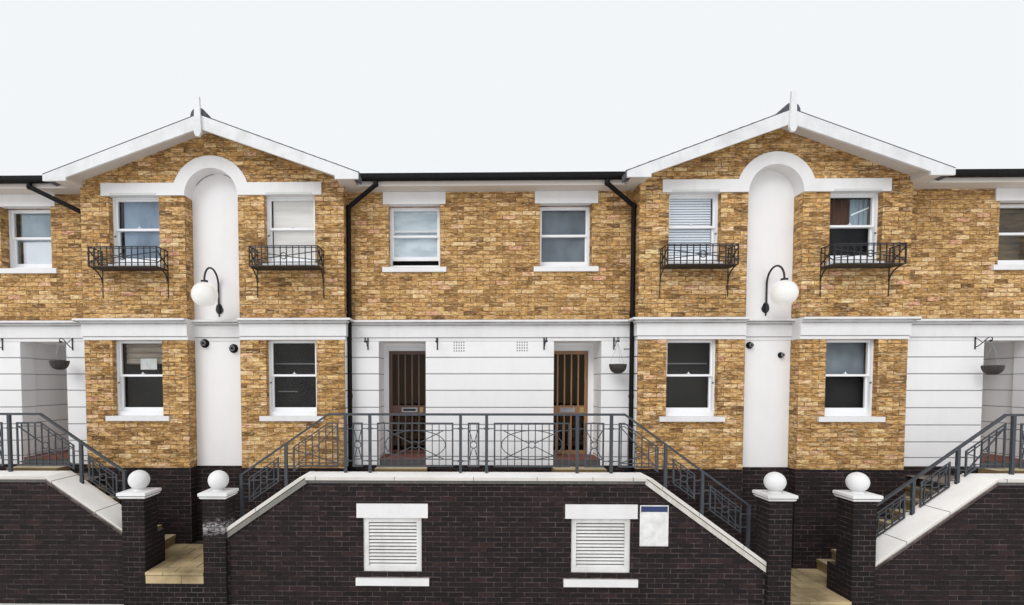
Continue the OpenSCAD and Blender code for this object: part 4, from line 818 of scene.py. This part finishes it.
# shadow gap under the flat band of the cornice
along_fronts(sunk, 0.011, 0.0145, BAND_Z - 0.011, BAND_Z - 0.001, 0.012, 0.012)
sunk.make()

# shaded hollows under the two fillets of the cornice
hollows = Skin("cornice_hollows", "cornice_shade", slot="white_render")
for z, near, far, tall in ((CORNICE_Z - 0.040, 0.086, 0.1125, 0.013),
                           (CORNICE_Z - 0.080, 0.029, 0.0425, 0.010)):
    along_fronts(hollows, near, far, z - tall, z + 0.0005, far, near)
hollows.make()

returns = Skin("niche_band_returns", "white_trim", slot="white_render")
for side, t in CORNERS:
    returns.box((side*HOUSE_W + t*(NICHE_R + 0.001), GABLE_Y - 0.012, HEAD_Z),
                (side*HOUSE_W + t*(NICHE_R - 0.004), GABLE_Y + NICHE_D, CORNICE_Z - 0.002))
returns.make(bevel=0.001)

# floors and landings
tiles = Skin("porch_tiles", "red_tile", slot="floor_slab")
risers = Skin("porch_risers", "dark_render", slot="floor_slab")
for p in PORCHES:
    lobby, deep = lobby_of(p)
    for area in ((-PORCH_W/2, -0.012, PORCH_W/2, WALL_T),
                 (lobby - p - LOBBY_HALF, WALL_T, lobby - p + LOBBY_HALF, deep - 0.002)):
        lay(tiles, floor_face(p, FLOOR_Z), area, unit=(0.148, 0.152), joint=0.005, bond=0, proud=0.002,
            shift=0.07)
    tiles.box((p - PORCH_W/2, -0.012, FLOOR_Z - 0.028), (p + PORCH_W/2, 0, FLOOR_Z - 0.001))
    risers.box((p - PORCH_W/2, -0.003, DOOR_STEP_Z), (p + PORCH_W/2, 0, FLOOR_Z - 0.029))
tiles.make()
risers.make()

slabs = Skin("platform_slabs", "paving", slot="paving")
bays = [(c - GABLE_HALF - 0.03, GABLE_Y - 0.03, c + GABLE_HALF + 0.03, 1) for c in (-HOUSE_W, HOUSE_W)]
steps = [(p - PORCH_W/2 - 0.05, PLINTH_Y - 0.36, p + PORCH_W/2 + 0.05, 1) for p in PORCHES]
for x0, x1 in between_gateways(STAIR_REACH):
    lay(slabs, floor_face(0, PLATFORM_Z), (x0, STREET_IN + 0.06, x1, PLINTH_Y - 0.01), bays + steps,
        unit=(0.59, 0.385), joint=0.01, proud=0.003)
slabs.make()

landing_slabs = Skin("landing_slabs", "landing_stone", slot="paving")
kerb_bricks = Skin("kerb_bricks", "black_bricks", slot="dark_brick")
landing_joints = Skin("landing_joints", "joint_dirt_and_shade", slot="paving")
for side in SIDES:
    c, z, reach, gate = side*HOUSE_W, LANDING_Z[side], LANDING_HALF[side], GATE_W/2 - 0.004
    for area in ((-reach, STREET_IN + 0.01, reach, GABLE_Y - 0.01),
                 (-gate, PILLAR_Y + 0.01, gate, STREET_IN + 0.01)):
        lay(landing_slabs, floor_face(c, z), area, unit=(0.45, 0.30), joint=0.014, proud=0.004)
        landing_joints.box((c + area[0], area[1], z + 0.0002), (c + area[2], area[3], z + 0.0012))
    # slab edge and stone riser in the gateway, with brick below where the kerb is tall
    left, right, foot = c - gate, c + gate, max(z - 0.168, 0.002)
    for a, b in ((left, c - 0.17), (c - 0.162, right)):
        landing_slabs.box((a, PILLAR_Y - 0.022, z - 0.042), (b, PILLAR_Y + 0.01, z + 0.001))
    for a, b in ((left, c + 0.10), (c + 0.108, right)):
        landing_slabs.box((a, PILLAR_Y - 0.008, foot), (b, PILLAR_Y + 0.01, z - 0.052))
    if foot > 0.1:
        pillar_heads.box((left, PILLAR_Y - 0.0015, 0.001), (right, PILLAR_Y + 0.002, foot - 0.002))
        lay(kerb_bricks, street_face(c, PILLAR_Y), (-gate, 0.002, gate, foot - JOINT), unit=SHORT_BRICK)
landing_slabs.make(bevel=0.003)
landing_joints.make()
kerb_bricks.make()
pillar_heads.make()

# the coping stones are thicker on the inner falls, and their lower band is darkened all along, by stains and
# painted shade
crowns = Skin("coping_falls", "pale_stone", slot="pale_stone")
bands = Skin("coping_bands", "stained_shaded_stone", slot="pale_stone")
lip_shadows = Skin("coping_lip_shadows", "joint_dirt_and_shade", slot="pale_stone")
bed_shadows = Skin("coping_bed_shadows", "dark_mortar", slot="dark_brick")
# height over the imported fall, depth of the edge and of the band under it, tone of the band (its stains and
# painted shade)
FALL_FORM = {(-1, -1): (0.003, 0.026, 0.046, 0.9), (-1, 1): (0.050, 0.012, 0.110, 0.5),
             (1, -1): (0.050, 0.012, 0.110, 0.92), (1, 1): (0.020, 0.026, 0.046, 0.9)}


def along_fall(skin, side, t, points, proud, tone=0.5):
    """A profile of (distance down the fall, height), carried across the street wall."""
    ring = [(side*HOUSE_W + t*(COPING_BEND[side] - s), STREET_Y - proud, COPING_Z - FALL[side]*s + h)
            for s, h in points]
    skin.prism(ring if t < 0 else ring[::-1], tone, (0, STREET_IN - STREET_Y + 2*proud, 0))


for (side, t), (crown, lip, drop, tone) in FALL_FORM.items():
    fall, run = FALL[side], COPING_BEND[side] - GATE_W/2 - PILLAR_W
    along_fall(crowns, side, t, ((0, -lip), (run, -lip), (run, crown), (crown/fall, crown), (0, 0.001)),
               0.046)
    start = min((COPING_T - drop)/fall, 0)
    along_fall(bands, side, t, ((start, -drop), (run, -drop), (run, -lip), (0, -lip)), 0.0365, tone)
    # a dark line under the lip: painted shadow
    along_fall(lip_shadows, side, t, ((0, -lip - 0.014), (run, -lip - 0.014), (run, -lip), (0, -lip)), 0.0375)
    # where the band is shallow, a dark strip under it is painted shadow under the coping
    if drop < COPING_T:
        foot = -COPING_T - 0.002
        along_fall(bed_shadows, side, t, ((0, foot), (run, foot), (run, -drop), (0, -drop)), 0.036)
for x0, x1 in between_gateways(COPING_BEND):
    bands.box((x0, STREET_Y - 0.0195, COPING_Z - COPING_T - 0.001), (x1, STREET_Y - 0.016, COPING_Z - 0.045),
              0.12)
crowns.make(bevel=0.003)
bands.make()
lip_shadows.make()
bed_shadows.make()


def coping_top(x):
    """Level of the coping at x, and how far its edges stand out."""
    for side in SIDES:
        reach = abs(x - side*HOUSE_W)
        if reach < COPING_BEND[side] and x*side > 0:
            crown = FALL_FORM[side, 1 if x > side*HOUSE_W else -1][0]
            return min(COPING_Z, COPING_Z - FALL[side]*(COPING_BEND[side] - reach) + crown), 0.047
    return COPING_Z, 0.0385


# open joints between the coping stones, right across the falls and on the front of the level ones
joints = Skin("coping_joints", "joint_dirt_and_shade", slot="pale_stone")
for x in (-8.9, -7.75, -6.55, -5.9, -3.52, -2.633, -1.47, -0.308, 0.62, 1.431, 2.012, 2.436, 2.97, 3.62,
          5.95, 6.55, 7.35, 8.55, 9.7):
    (z, proud), (z2, _) = coping_top(x - 0.003), coping_top(x + 0.003)
    ring = [(x - 0.003, z - 0.05), (x + 0.003, z2 - 0.05), (x + 0.003, z2 + 0.0022), (x - 0.003, z + 0.0022)]
    joints.prism([(u, STREET_Y - proud, v) for u, v in ring], 0.5,
                 (0, STREET_IN - STREET_Y + 2*proud if proud > 0.04 else 0.05, 0))
joints.make()

# window dressing: centre, wall face, width, reveal, sill and head of each front window
WINDOWS = [(side*HOUSE_W + t*GABLE_WIN_X, GABLE_Y, GABLE_WIN_W, REVEAL, sill, head) for side, t in CORNERS
           for sill, head in ((LOWER_SILL_Z, HEAD_Z), (UPPER_SILL_Z, GABLE_HEAD_Z))]
WINDOWS += [(x, 0, RECESS_WIN_W, RECESS_REVEAL, UPPER_SILL_Z, RECESS_HEAD_Z) for x in RECESS_WINS]

# dark sheets a little inside every front and rear window: painted shade of the rooms behind
rooms = Skin("room_shadow_backings", "room_shadow")
for x, y, w, reveal, sill, head in WINDOWS:
    rooms.box((x - w/2 - 0.10, y + 0.42, sill - 0.10), (x + w/2 + 0.10, y + 0.423, head + 0.10))
for u0, z0, u1, z1 in rear_holes[::3]:
    rooms.box((-u1, REAR_Y - 0.33, z0), (-u0, REAR_Y - 0.327, z1))
rooms.make()


def length(path):
    return sum(math.dist(a, b) for a, b in zip(path, path[1:]))


def sheet(name, material, strips, smooth=False):
    """A cloth made of flat strips."""
    skin = Skin(name, material)
    for strip in strips:
        skin.prism(strip)
    piece = skin.make(smooth=smooth)


def pleated(name, material, x, y, width, top, low, pleats, depth):
    """A blind drawn up into level pleats."""
    path = [(y - (depth if k % 2 else 0), top - (top - low)*(k + (0.7 if k % 2 else 0))/(2*pleats))
            for k in range(2*pleats + 1)]
    left, right = x - width/2, x + width/2
    strips = [[(left, *b), (right, *b), (right, *a), (left, *a)] for a, b in zip(path, path[1:])]
    sheet(name, material, strips)


def hang(name, material, x, y, width, top, low, folds=0, depth=0.012):
    """A cloth that hangs behind a window, with its folds."""
    n = folds*8 if folds else 1
    row = [(x - width/2 + width*i/n, y + (depth*math.sin(2*math.pi*i/8) if folds else 0))
           for i in range(n + 1)]
    strips = [[(*a, low), (*b, low), (*b, top), (*a, top)] for a, b in zip(row, row[1:])]
    sheet(name, material, strips, bool(folds))


# right behind the window frames
GABLE_IN, RECESS_IN = GABLE_Y + REVEAL + FRAME_D - 0.004, RECESS_REVEAL + FRAME_D - 0.004
U_TOP, R_TOP, U_LOW = GABLE_HEAD_Z - 0.02, RECESS_HEAD_Z - 0.02, UPPER_SILL_Z + 0.072
# upper gable windows: pinned cloth, roller blind, slats, curtain and net
hang("pinned_cloth", "blue_film", -6.004, GABLE_IN, 0.70, U_TOP, U_LOW, 2, 0.008)
hang("roller_blind", "lit_blind", -3.375, GABLE_IN, 0.74, U_TOP, U_LOW)
hang("red_curtain", "brown_curtain", 5.860, GABLE_Y + 0.34, 0.62, U_TOP, UPPER_SILL_Z + 0.66, 5, 0.03)
hang("side_net", "dim_net", 6.400, GABLE_Y + 0.33, 0.46, U_TOP, UPPER_SILL_Z + 0.66, 6)
tie = Skin("net_tie_band", "white_net")
tie.prism([(x, GABLE_Y + 0.312, z) for x, z in ((6.185, 6.172), (6.515, 6.312), (6.515, 6.338),
                                                (6.185, 6.200))], 0.5, (0, 0.002, 0))
tie.make()
slats = Skin("slatted_blind", "blind_slats")
SLATS, SLAT_X = 24, (3.393 - 0.39, 3.393 + 0.36)
for k in range(SLATS):
    z = U_TOP - 0.01 - (k + 1)*(U_TOP - U_LOW - 0.02)/SLATS
    front, back = (GABLE_IN - 0.010, z), (GABLE_IN + 0.004, z + 0.037)
    slats.prism([(SLAT_X[0], *front), (SLAT_X[1], *front), (SLAT_X[1], *back), (SLAT_X[0], *back)],
                0.5, (0, 0.0015, 0))
slats.make()
# recess windows: nets of three tones, one of them over the raised sash
hang("end_net_upper", "teal_film", -8.150, RECESS_IN, 0.74, R_TOP, U_LOW + 0.47)
hang("end_net_lower", "white_net", -8.130, RECESS_IN, 0.70, U_LOW + 0.468, U_LOW)
hang("middle_net", "net_curtain", -1.317, RECESS_IN, 0.825, R_TOP, U_LOW + 0.10)
hang("middle_film", "grey_film", 1.317, RECESS_IN, 0.825, R_TOP, U_LOW)
hang("brown_blind", "brown_cloth", 9.153, RECESS_IN, 0.825, R_TOP, U_LOW)
# lower gable windows: folded blind with a plain sheet, shelves, a grey screen
pleated("beige_blind", "beige_cloth", -6.025, GABLE_Y + 0.30, 0.78, HEAD_Z - 0.02, HEAD_Z - 0.40, 4, 0.022)
hang("plain_sheet", "paper", -5.985, GABLE_IN, 0.29, 3.74, 3.545)
hang("grey_screen", "grey_film", 6.047, GABLE_Y + 0.30, 0.84, HEAD_Z - 0.02, 3.43)
shelves = Skin("room_shelves", "grey_shelf")
for x0, x1, z0, z1 in ((-6.42, -5.62, 3.640, 3.662), (-3.80, -2.94, 3.640, 3.662),
                       (2.94, 3.80, 3.640, 3.662), (-3.76, -3.42, 3.150, 3.168)):
    shelves.box((x0, GABLE_Y + 0.36, z0), (x1, GABLE_Y + 0.41, z1))
shelves.make(bevel=0.002)

# catches on the meeting rails and on the window frames, slim strips under the level bands
catches = Skin("sash_fasteners", "white_joinery")
hooks = Skin("frame_catches", "black_iron")
strips = Skin("head_strips", "pale_strip", slot="white_render")
for x, y, w, reveal, sill, head in WINDOWS[:8]:
    rail, inner = (sill + 0.035 + head)/2 + 0.052, y + reveal
    catches.turn((x, inner + 0.045, rail), ((0, 0.020), (0.008, 0.020), (0.012, 0.010), (0.030, 0.008),
                                            (0.038, 0.003)), n=12)
    catches.box((x - 0.030, inner + 0.035, rail), (x + 0.030, inner + 0.055, rail + 0.008))
    u, v = x + (-1 if x < 0 else 1)*0.392, rail - 0.150
    hooks.box((u - 0.014, inner - 0.008, v - 0.010), (u + 0.014, inner + 0.001, v + 0.010))
    hooks.tube([(u - 0.018, inner - 0.012, v - 0.012), (u, inner - 0.014, v),
                (u + 0.016, inner - 0.012, v + 0.014)], 0.004, 6, (0, 1, 0))
    if sill == UPPER_SILL_Z:
        strips.box((x - 0.392, y - 0.038, head + 0.003), (x + 0.392, y - 0.006, head + 0.040))
catches.make()
hooks.make()
strips.make(bevel=0.002)

# fittings on the doors
DOOR_Y = PORCH_D + 0.025
TO_STREET = (0, -1, 0)


def door_fittings(side, plate, slot, slit_z, lock):
    """Letter plate, its slot and the lock of a door, each between two places along the row."""
    name = SIDE_NAMES[side]
    body = name + "_door"
    metal = Skin("letter_plate_" + name, "dull_steel", body)
    metal.box((plate[0], DOOR_Y - 0.006, 2.762), (plate[1], DOOR_Y, 2.848))
    if side > 0:
        metal.box((slot[0], DOOR_Y - 0.010, 2.786), (slot[1], DOOR_Y - 0.005, 2.826))
    metal.make(bevel=0.002)
    # the slot is a dark strip: painted shade of its opening
    slit = Skin("letter_slot_" + name, "room_shadow", body)
    slit.box((slot[0], DOOR_Y - 0.0068, slit_z[0]), (slot[1], DOOR_Y - 0.0055, slit_z[1]))
    slit.make()
    knob = Skin("lock_" + name, "worn_brass", body)
    middle = (lock[0] + lock[1])/2
    knob.box((lock[0], DOOR_Y - 0.004, 2.752), (lock[1], DOOR_Y, 2.852))
    knob.turn((middle, DOOR_Y - 0.004, 2.826), ((0, 0.018), (0.012, 0.018), (0.014, 0.015)), TO_STREET, 20)
    knob.turn((middle, DOOR_Y - 0.004, 2.780), ((0, 0.010), (0.020, 0.009), (0.026, 0.020), (0.044, 0.022),
                                                (0.050, 0.014)), TO_STREET, 20)
    knob.make(bevel=0.001)


door_fittings(-1, (-1.620, -1.323), (-1.590, -1.355), (2.785, 2.828), (-1.280, -1.215))
door_fittings(1, (1.342, 1.622), (1.372, 1.592), (2.826, 2.830), (1.712, 1.782))

# fittings on the walls
arms = Skin("basket_arms", "black_iron", slot="black_iron")
for x in (-8.662, -7.400, -2.138, -0.917, 0.949, 2.163, 8.361):
    arms.box((x - 0.012, -PROUD - 0.006, 3.890), (x + 0.012, -PROUD + 0.002, 4.116))
    arms.tube([(x, -PROUD, 3.925), (x, -0.075, 3.945), (x, -0.150, 3.995), (x, -0.225, 4.060),
               (x, -0.275, 4.085), (x, -0.315, 4.065), (x, -0.318, 4.030), (x, -0.290, 4.018)], 0.0075)
    arms.tube([(x, -PROUD, 4.090), (x, -0.080, 4.055), (x, -0.150, 3.995)], 0.006)
    arms.turn((x, -0.288, 4.000), ((0.0, 0.004), (0.006, 0.018), (0.019, 0.026), (0.032, 0.018),
                                   (0.038, 0.004)), n=14)
arms.make()

bowls = Skin("basket_bowls", "wicker")
chains = Skin("basket_chains", "dull_steel")
BOWL_Y, BOWL_R, BOWL_D, STAVES = -0.300, 0.140, 0.150, 14
profile = [(-BOWL_D + BOWL_D*(1 - math.cos(a)), BOWL_R*math.sin(a)**0.8)
           for a in (math.radians(d) for d in (8, 20, 35, 50, 65, 80, 90))]
inside = [(h + 0.006, max(q - 0.010, 0.002)) for h, q in reversed(profile)]
for x, rim in ((2.157, 3.625), (-7.425, 3.690), (8.400, 3.600)):
    def round_bowl(q, t, z):
        return x + q*math.cos(t), BOWL_Y + q*math.sin(t), z

    bowls.turn((x, BOWL_Y, rim), profile + inside[:-1] + [(-0.142, 0.004)], n=28)
    for h, q in profile[1:]:
        bowls.tube([round_bowl(q, t, rim + h) for t in turns(28, 29)], 0.0065, 6, (0, 0, 1))
    for t in turns(STAVES):
        bowls.tube([round_bowl(q + 0.004, t, rim + h) for h, q in profile], 0.0045, 5,
                   (-math.sin(t), math.cos(t), 0))
    for k in range(3):
        t = 2*math.pi*(k + 0.25)/3
        chains.tube([round_bowl(BOWL_R, t, rim), (x, BOWL_Y + 0.005, rim + 0.36)], 0.0022, 5,
                    (-math.sin(t), math.cos(t), 0))
bowls.make()
chains.make()

# oval plates with beaded rims and drops, behind the stems of the lamps
backs = Skin("lamp_back_plates", "black_iron", slot="black_iron")
LAMP_PLATE_Z, NICHE_Y = 4.600, GABLE_Y + NICHE_D
for side in SIDES:
    c = side*(HOUSE_W + 0.008)
    for wide, tall, y0, y1 in ((0.058, 0.094, 0.0, 0.007), (0.047, 0.081, 0.007, 0.013),
                               (0.030, 0.058, 0.013, 0.020)):
        backs.rings([[(c + wide*math.cos(a), NICHE_Y - d, LAMP_PLATE_Z + tall*math.sin(a))
                      for a in turns(28)] for d in (y0, y1)])
    for a in turns(28)[::2]:
        backs.turn((c + 0.053*math.cos(a), NICHE_Y - 0.007, LAMP_PLATE_Z + 0.088*math.sin(a)),
                   ((0, 0.006), (0.004, 0.005), (0.006, 0.001)), TO_STREET, 8)
    backs.turn((c, NICHE_Y - 0.010, 4.512), ((0, 0.012), (0.010, 0.008), (0.020, 0.013), (0.034, 0.013),
                                             (0.050, 0.002)), (0, 0, -1), 14)
backs.make()

# soot where the head of the left niche meets its back
soot = Skin("niche_soot", "cornice_shade", slot="white_render")
for first, last in ((42, 76), (98, 148)):
    soot.tube([(-HOUSE_W + (NICHE_R - 0.003)*math.cos(a), NICHE_Y - 0.003,
                GABLE_HEAD_Z + (NICHE_R - 0.003)*math.sin(a))
               for a in (math.radians(d) for d in range(first, last, 3))], 0.006, 6, (0, 1, 0))
soot.make()

# air vents: place, pitches across and up, rows of five slots
vent_slots = Skin("air_vent_slots", "vent_shade", slot="white_render")
for x, z, across, up, rows in ((-0.537, 3.946, 0.0425, 0.049, 4), (0.567, 3.948, 0.0425, 0.047, 4),
                               (2.395, 3.900, 0.024, 0.0, 1)):
    for i in range(5):
        for j in range(rows):
            u, v = x + (i - 2)*across, z + (j - (rows - 1)/2)*up
            vent_slots.box((u - 0.0095, -PROUD - 0.0012, v - 0.013), (u + 0.0095, -PROUD + 0.001, v + 0.013))
vent_slots.make()

# flues: q is the outer radius, and every other size follows it
flues = Skin("flue_terminals", "black_plastic")
guards = Skin("flue_guards", "dull_steel")
for x, z, q in ((-4.991, 4.004, 0.078), (-4.485, 3.914, 0.078), (4.466, 3.959, 0.060),
                (5.002, 3.790, 0.050)):
    def round_flue(share, t, out):
        return x + q*share*math.cos(t), NICHE_Y - out, z + q*share*math.sin(t)

    flues.turn((x, NICHE_Y, z), ((0, q), (0.012, q), (0.018, q*0.80), (0.060, q*0.74), (0.070, q*0.66),
                                 (0.070, q*0.48), (0.030, q*0.44)), TO_STREET, 28)
    flues.turn((x, NICHE_Y, z), ((0.0, q*0.26), (0.076, q*0.26), (0.080, q*0.18)), TO_STREET, 20)
    for t in turns(8):
        flues.tube([round_flue(0.22, t, 0.072), round_flue(0.70, t, 0.070)], 0.004, 5, (0, 1, 0))
    for share in (0.36, 0.58):
        guards.tube([round_flue(share, t, 0.079) for t in turns(20, 21)], 0.0035, 5, (0, 1, 0))
flues.make()
guards.make()

PLATE_X, PLATE_Z, PLATE_Y = (2.125, 2.541), (0.923, 1.528), STREET_Y - 0.010
plate = Skin("blank_plate", "paper")
plate.box((PLATE_X[0], PLATE_Y, PLATE_Z[0]), (PLATE_X[1], STREET_Y - 0.004, PLATE_Z[1]))
plate.make(bevel=0.002)
header = Skin("blank_plate_header", "blue_enamel")
header.box((2.140, PLATE_Y - 0.0012, 1.430), (2.526, PLATE_Y + 0.0005, 1.512))
header.make()
screws = Skin("plate_screws", "dull_steel")
for x in (2.146, 2.520):
    for z in (0.938, 1.421):
        screws.turn((x, PLATE_Y, z), ((0, 0.006), (0.003, 0.005)), TO_STREET, 12)
screws.make()

# roof covering
RISE = Vector((0, math.cos(PITCH), math.sin(PITCH)))
LEAN = Vector((0, -RISE.z, RISE.y))
VALLEY_HALF = (RIDGE_Z - EAVES_Z)/SLOPE
SLOPE_LEN = (REAR_Y/2 + EAVES_OVER)/RISE.y


def slates(skin, face, area, holes=(), cuts=()):
    lay(skin, face, area, holes, cuts, (0.250, 0.190), 0.004, 0.008, 0.010, least=0.02)


front = Skin("front_slates", "roof_slate", slot="slate")
# a valley bounds each strip on its one side, where the roof of a bay cuts in
for x0, x1, side, t in ((END_L, -HOUSE_W, -1, -1), (-HOUSE_W, 0, -1, 1), (0, HOUSE_W, 1, -1),
                        (HOUSE_W, END_R, 1, 1)):
    slates(front, Face((0, -EAVES_OVER, EAVES_Z), (1, 0, 0), LEAN, RISE), (x0, 0.002, x1, SLOPE_LEN - 0.03),
           cuts=((-t, -RISE.y, -t*side*HOUSE_W - VALLEY_HALF - 0.02),))
front.make()

rear = Skin("rear_slates", "roof_slate", slot="slate")
slates(rear, Face((0, REAR_Y + EAVES_OVER, EAVES_Z), (-1, 0, 0), (0, -LEAN.y, LEAN.z), (0, -RISE.y, RISE.z)),
       (-END_R, 0.002, -END_L, SLOPE_LEN - 0.03))
rear.make()

# the bays' roofs run back from the verge, and their valleys with the distance from the ridge
bay = Skin("bay_slates", "roof_slate", slot="slate")
bay_eaves = -EAVES_OVER - GABLE_Y + VERGE_OVER
for side, t in CORNERS:
    top = Face((side*HOUSE_W + t*VERGE_HALF, GABLE_Y - VERGE_OVER, RIDGE_Z - VERGE_HALF*SLOPE), (0, 1, 0),
               (t*RISE.z, 0, RISE.y), (-t*RISE.y, 0, RISE.z))
    slates(bay, top, (0.050, 0.002, bay_eaves + VALLEY_HALF, VERGE_HALF/RISE.y - 0.03),
           [(bay_eaves - 0.12, -1, 9, 0.31)], ((1, -RISE.y, bay_eaves + VALLEY_HALF - VERGE_HALF - 0.02),))
bay.make()

# stage
GROUND, REACH = (222, 221, 218), 60
shade = Shader("ground_sheet", 0.9)
shade.colour(shade.mix(shade.ramp(shade.noise(0.3, 2), (0.4, 0.0), (0.7, 0.4)), GROUND,
                       linear(GROUND, 0.97)))
ground_mesh = bpy.data.meshes.new("ground_sheet")
ground_mesh.from_pydata([(-REACH, -REACH, -0.001), (REACH, -REACH, -0.001),
                         (REACH, REACH, -0.001), (-REACH, REACH, -0.001)], [], [(0, 1, 2, 3)])
ground_mesh.materials.append(MATERIALS["ground_sheet"])
ground = bpy.data.objects.new("ground_sheet", ground_mesh)
bpy.context.scene.collection.objects.link(ground)

world = bpy.data.worlds.new("soft_sky")
bpy.context.scene.world = world
world.use_nodes = True
sky = world.node_tree
sky.nodes.clear()
lit = add_node(sky, "Background", {"Color": (246, 247, 250), "Strength": 0.98})
seen = add_node(sky, "Background", {"Color": (243, 246, 249), "Strength": 1.0})
ray = add_node(sky, "LightPath").outputs
straight = add_node(sky, "Math", {0: ray["Is Camera Ray"], 1: ray["Is Glossy Ray"]}, operation="MAXIMUM")
through = add_node(sky, "Math", {0: straight.outputs[0], 1: ray["Is Transmission Ray"]}, operation="MAXIMUM")
both = add_node(sky, "MixShader", {0: through.outputs[0], 1: lit.outputs[0], 2: seen.outputs[0]})
add_node(sky, "OutputWorld", {"Surface": both.outputs[0]})

sun = bpy.data.lights.new("soft_sun", "SUN")
sun.energy = 1.45
sun.angle = math.radians(35)
sun_obj = bpy.data.objects.new("soft_sun", sun)
sun_obj.rotation_euler = (math.radians(52), 0, math.radians(-28))
bpy.context.scene.collection.objects.link(sun_obj)

# camera, fitted to the photograph, which is 1024 x 605
FOCAL_PX, CENTRE_X, CENTRE_Y = 535.08, 455.31, 403.41
cam = bpy.data.cameras.new("camera")
cam.sensor_fit = "HORIZONTAL"
cam.sensor_width = 36.0
cam.lens = FOCAL_PX*36.0/1024
cam.shift_x = (512 - CENTRE_X)/1024
cam.shift_y = (CENTRE_Y - 302.5)/1024
cam.clip_end = 300
cam_obj = bpy.data.objects.new("camera", cam)
cam_obj.location = (-0.439, -9.430, 3.324)
cam_obj.rotation_euler = (math.pi/2 - 0.0396, 0, 0.0174)
bpy.context.scene.collection.objects.link(cam_obj)
bpy.context.scene.camera = cam_obj
bpy.context.scene.view_settings.view_transform = "Standard"
